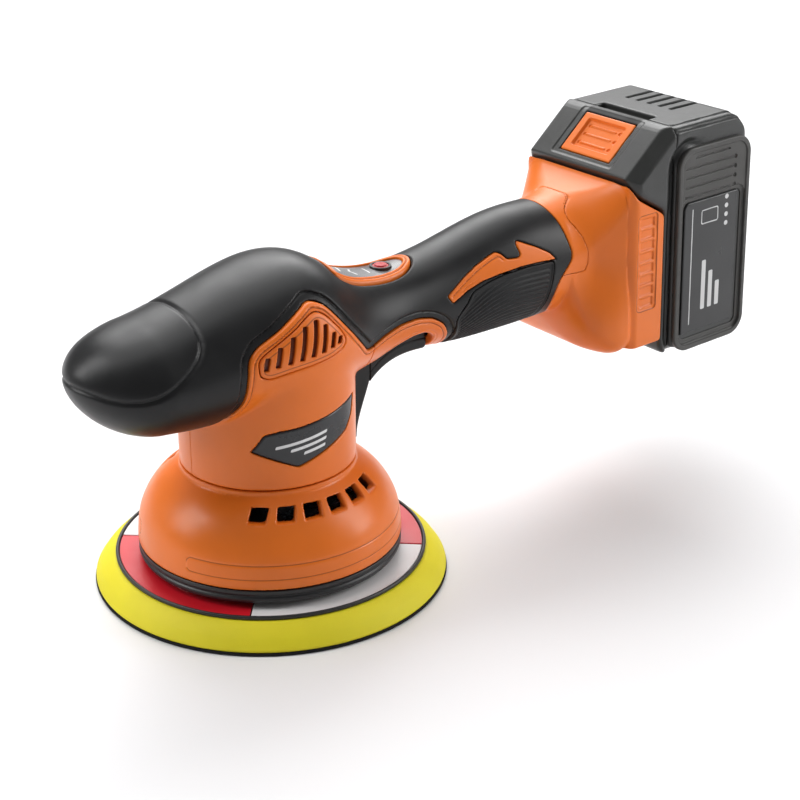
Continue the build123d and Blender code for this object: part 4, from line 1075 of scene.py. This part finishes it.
# seam marks where shade is painted into the orange: the ladder field's edge and the collar's edge.
build("battery_receptacle", f_receptacle, (136, -38, 67), (193, 38, 151), 0.7, orange, "housing",
      seam=lambda x, y, z: ladder(*uw(x, z))[1] + np.maximum(35.0 - np.abs(y), 0))
build("handle_collar", f_collar, (136, -29, 104), (158, 29, 142), 0.5, orange, "housing",
      keep=lambda x, y, z: np.hypot(y, z - 111) > 18, seam=lambda x, y, z: COLLAR(x, z))

CASE_SPLIT = 25.2  # u of the battery case's parting line
TONGUE = 8.8, 14.3, 19.7, 15.2  # of the T-shaped rail: u from, u to, half width, half width of its neck
BATTERY = Outline(rounded([
    (19.5, -44.0), (19.5, 23.2), (3.3, 33.2), (-0.9, 40.7), (-1.3, 41.8), (20.9, 60.5), (63.0, 60.5), (70.4, 52.0),
    (70.4, -42.0), (66.0, -47.0), (23.0, -47.0)], 3.0))
CHAMFER = math.atan2(60.5 - 41.8, 20.9 + 1.3)  # slope of the face that the latch sits in
LATCH_MID = 16.25  # middle of the latch along that face


def latch_frame(u, w):
    """Along the chamfer from its lower edge, and out of it."""
    c, s = math.cos(CHAMFER), math.sin(CHAMFER)
    return (u + 1.3) * c + (w - 41.8) * s, -(u + 1.3) * s + (w - 41.8) * c


PLATE = 48.5, 1.5, 22.9, 48.5  # centre u, centre w, half length, half height of the side panels
WINDOW_UW = 48.5, -8.4, 18.3, 33.0  # the label's window in them


def plate_outline(u, w):
    return rounded_box(u - PLATE[0], w - PLATE[1], PLATE[2], PLATE[3], 9.0)


def battery(x, y, z):
    """Outer form of the battery."""
    u, w = uw(x, z)
    f = smax(BATTERY(u, w), np.abs(y) - BATTERY_Y, 3.6)
    bevel = (np.abs(y) - BATTERY_Y + 5.2 + np.maximum(latch_frame(u, w)[1], -u - 1.3)) / 1.414
    moat = groove(plate_outline(u, w) - 1.9, 4.2, 2.2) * step(44, 30, u) * step(30, 33, np.abs(y))
    return smax(f, bevel, 0.8) + moat


def top_slots(u, y):
    k = np.clip(np.round((y - 1.6) / 7.0), -2, 2)
    return rounded_box(u - 53.4, y - 1.6 - 7.0 * k, 9.4, 1.25, 1.2)


def f_battery_front(x, y, z):
    u, w = uw(x, z)
    f = battery(x, y, z)
    a, n = latch_frame(u, w)
    f = smax(f, u - CASE_SPLIT + 0.12, 0.7)
    around = smax(np.abs(y) - 19.5, np.abs(a - LATCH_MID) - 13.5, 2.0)
    f = f + 0.55 * step(0.4, -0.4, around) * step(-2, -0.5, n)
    u0, u1, half_wide, half_narrow = TONGUE
    ends = np.abs(w - 6) - 26
    tongue = smax(np.maximum(np.abs(u - (u0 + u1) / 2) - (u1 - u0) / 2, np.abs(y) - half_wide), ends, 0.5)
    neck = smax(np.maximum(np.abs(u - 16.5) - 3.5, np.abs(y) - half_narrow), ends, 0.5)
    f = np.minimum(f, np.minimum(tongue, neck))
    pocket = smax(np.maximum(np.abs(y) - 16.3, np.abs(a - LATCH_MID) - 11.05), -(n + 10.1), 0.3)
    f = smax(f, -np.maximum(pocket, n - 6), 0.4)
    blades = np.maximum(np.abs(np.abs(np.abs(y) - 8) - 4) - 1.0, np.maximum(np.abs(u - 11.5) - 2.2, w + 7.4))
    return smax(f, -blades, 0.2)


def f_battery_rear(x, y, z):
    u, w = uw(x, z)
    f = battery(x, y, z)
    raised = rounded_box(u - 45.5, y, 19.6, 31.0, 3.0)
    f = f + 0.7 * step(-0.3, 0.6, raised) * step(57.5, 58.5, w) * step(66, 62, u)
    f = f + 2.2 * step(0.15, -0.45, top_slots(u, y)) * step(55, 57.5, w)
    f = smax(f, CASE_SPLIT + 0.12 - u, 0.7)
    hollow = smax(rounded_box(u - 25, y, 6.5, 17.0, 2.2), 57.5 - w, 0.8)
    return smax(f, -hollow, 0.9)


def label_window(u, w):
    return rounded_box(u - WINDOW_UW[0], w - WINDOW_UW[1], WINDOW_UW[2], WINDOW_UW[3], 3.2)


def plate_slots(u, w):
    """Five thin lines above the label; all but the short top one end in a dot."""
    k = np.clip(np.round((45.0 - w) / 4.4), 0, 4)
    dw = w - 45.0 + 4.4 * k
    line = rounded_box(u - 45.5 - 1.5 * (k == 0), dw, 15.5 - 4.5 * (k == 0), 0.42, 0.3)
    return np.where(k > 0, np.minimum(line, np.hypot(u - 61.6, dw) - 1.0), line)


def f_side_panel(x, y, z):
    u, w = uw(x, z)
    p = plate_outline(u, w)
    top = np.abs(y) - PANEL_Y + 0.05
    top = top + 0.6 * step(-2.2, -3.0, p) + 0.7 * step(0.2, -0.3, plate_slots(u, w))
    top = top + 0.8 * step(2.4, 1.8, label_window(u, w))
    f = smax(top, BATTERY_Y - 0.6 - np.abs(y), 0.1)
    return carve(f, (p, 0.9), (-label_window(u, w), 0.5))


def f_label(x, y, z):
    u, w = uw(x, z)
    channel = smin(WINDOW_UW[0] + WINDOW_UW[2] - 2.6 - u, w - WINDOW_UW[1] + WINDOW_UW[3] - 2.6, 0.5)
    f = smax(np.abs(y) - PANEL_Y + 0.75 + 1.5 * step(0.3, -0.3, channel), label_window(u, w) + 0.25, 0.5)
    return np.maximum(f, BATTERY_Y - 0.5 - np.abs(y))


def label_mark(x, y, z):
    """Generic print: a tall block, a row of dots, a thin rule and a small frame."""
    u, w = uw(x, z)
    bars = [rounded_box(u - 44.0 - 4.6 * k, w + 20 + 3.0 * (k - 1), 1.3, 12.0 - 3.0 * k, 0.5) for k in range(3)]
    k = np.clip(np.round((w - 10) / 4.2), 0, 3)
    dots = np.hypot(u - 57.2, w - 10 - 4.2 * k) - 1.15
    rule = rounded_box(u - 35.5, w + 6.8, 0.3, 28, 0.2)
    chip = np.abs(rounded_box(u - 46.5, w - 16.0, 5.2, 3.2, 0.8)) - 0.28
    return np.minimum.reduce([*bars, dots, rule, chip])


def case_shade(x, y, z):
    """Distance to the battery case's recesses, where shade is painted into the colour: its parting line, the moats and
    the slots on top.
    """
    u, w = uw(x, z)
    moat = np.maximum(np.abs(plate_outline(u, w) - 1.9) - 1.4, 0) + np.maximum(34 - np.abs(y), 0)
    moat = moat + 9 * step(30, 44, u)
    slots = np.maximum(top_slots(u, y), 0) + np.maximum(57.5 - w, 0)
    hollow = np.maximum(rounded_box(u - 25, y, 6.0, 16.5, 2.2), 0) + np.maximum(w - 60.2, 0) + np.maximum(54 - w, 0)
    return np.minimum.reduce([np.abs(u - CASE_SPLIT), moat, slots, hollow])


WHOLE = 1e6  # reach that leaves no wall out
label = marked("label", (0.020, 0.020, 0.021), 0.33, (0.62, 0.62, 0.62, 1))
# seam marks where shade is painted into the battery's colour: parting line, moats, slots and the panels' step.
build("battery_front_case", f_battery_front, (166, -38, 60), (201, 38, 172), 0.75, shell_grey, "battery",
      seam=case_shade)
build("battery_rear_case", f_battery_rear, (191, -38, 60), (245, 38, 173), 0.75, shell_grey, "battery",
      seam=case_shade)
both_sides("battery_side_panels", f_side_panel, (192, -39, 60), (246, -34, 163), 0.45, panel_grey, WHOLE, "battery",
           seam=lambda x, y, z: plate_outline(*uw(x, z)) + 2.6)
both_sides("battery_label_plates", f_label, (197, -39, 66), (242, -34, 140), 0.5, label, WHOLE, "battery",
           mark=label_mark)


def f_latch(x, y, z):
    a, n = latch_frame(*uw(x, z))
    inset = smax(np.abs(y) - 11.8, np.abs(a - 16.6) - 7.6, 1.2)
    k = np.clip(np.round((a - 16.4) / 4.6), -1, 1)
    ridge = rounded_box(a - 16.4 - 4.6 * k, y - 1.2, 0.35, 8.4, 0.3)
    dot = np.hypot(a - 16.4 - 4.6 * k, np.abs(y) - 9.6) - 0.95
    top = n + 0.5 + 1.5 * step(0.3, -0.7, inset) - 0.7 * step(0.5, -0.3, ridge) + 0.7 * step(0.2, -0.4, dot)
    f = smax(top, -(n + 6.4), 0.6)
    return smax(smax(f, np.abs(a - LATCH_MID) - 10.65, 0.8), np.abs(y) - 15.9, 0.8)


build("latch_button", f_latch, (170, -18, 146), (195, 18, 170), 0.5, orange_plain, "latch")


# ---------------- floor, light and camera
floor_surface = Surface("floor", roughness=0.55)
floor_surface.set("base color", (0.80, 0.80, 0.81, 1))
bpy.ops.mesh.primitive_plane_add(size=40)
floor = bpy.context.object
floor.name = "floor"
floor.data.materials.append(floor_surface.material)

world = bpy.data.worlds.new("studio")
world.use_nodes = True
sky = world.node_tree.nodes["Background"]
sky.inputs["Color"].default_value = (1, 1, 1, 1)
sky.inputs["Strength"].default_value = 0.22
bpy.context.scene.world = world
bpy.context.scene.view_settings.view_transform = "Standard"

TARGET = Vector((0.0689, 0.0, 0.0606))  # what the camera and the lights look at
FOCAL_LENGTH = 1739 / 800  # as a share of the picture's width
SENSOR = 36


def softbox(name, position, width, height, power, target=TARGET):
    """Rectangular area light that looks at the tool."""
    data = bpy.data.lights.new(name, "AREA")
    data.shape, data.size, data.size_y, data.energy = "RECTANGLE", width, height, power
    light = bpy.data.objects.new(name, data)
    light.location = position
    light.rotation_euler = (target - Vector(position)).to_track_quat("-Z", "Y").to_euler()
    bpy.context.scene.collection.objects.link(light)


softbox("overhead", (0.05, 0.45, 1.5), 1.8, 1.2, 12)
softbox("rim", (0.75, 0.95, 0.85), 1.5, 0.5, 6)
softbox("left", (-0.75, 0.45, 0.75), 0.4, 0.9, 7)
softbox("right", (0.95, -0.65, 0.6), 0.4, 0.9, 8)
softbox("backdrop", (1.1, 1.6, 1.7), 2.2, 1.6, 42, Vector((1.1, 1.7, 0)))

camera_data = bpy.data.cameras.new("camera")
camera_data.lens, camera_data.sensor_width = FOCAL_LENGTH * SENSOR, SENSOR
camera = bpy.data.objects.new("camera", camera_data)
camera.location = (-0.3522, -0.5535, 0.3631)
camera.rotation_euler = (TARGET - camera.location).to_track_quat("-Z", "Y").to_euler()
bpy.context.scene.collection.objects.link(camera)
bpy.context.scene.camera = camera

bpy.context.view_layer.update()
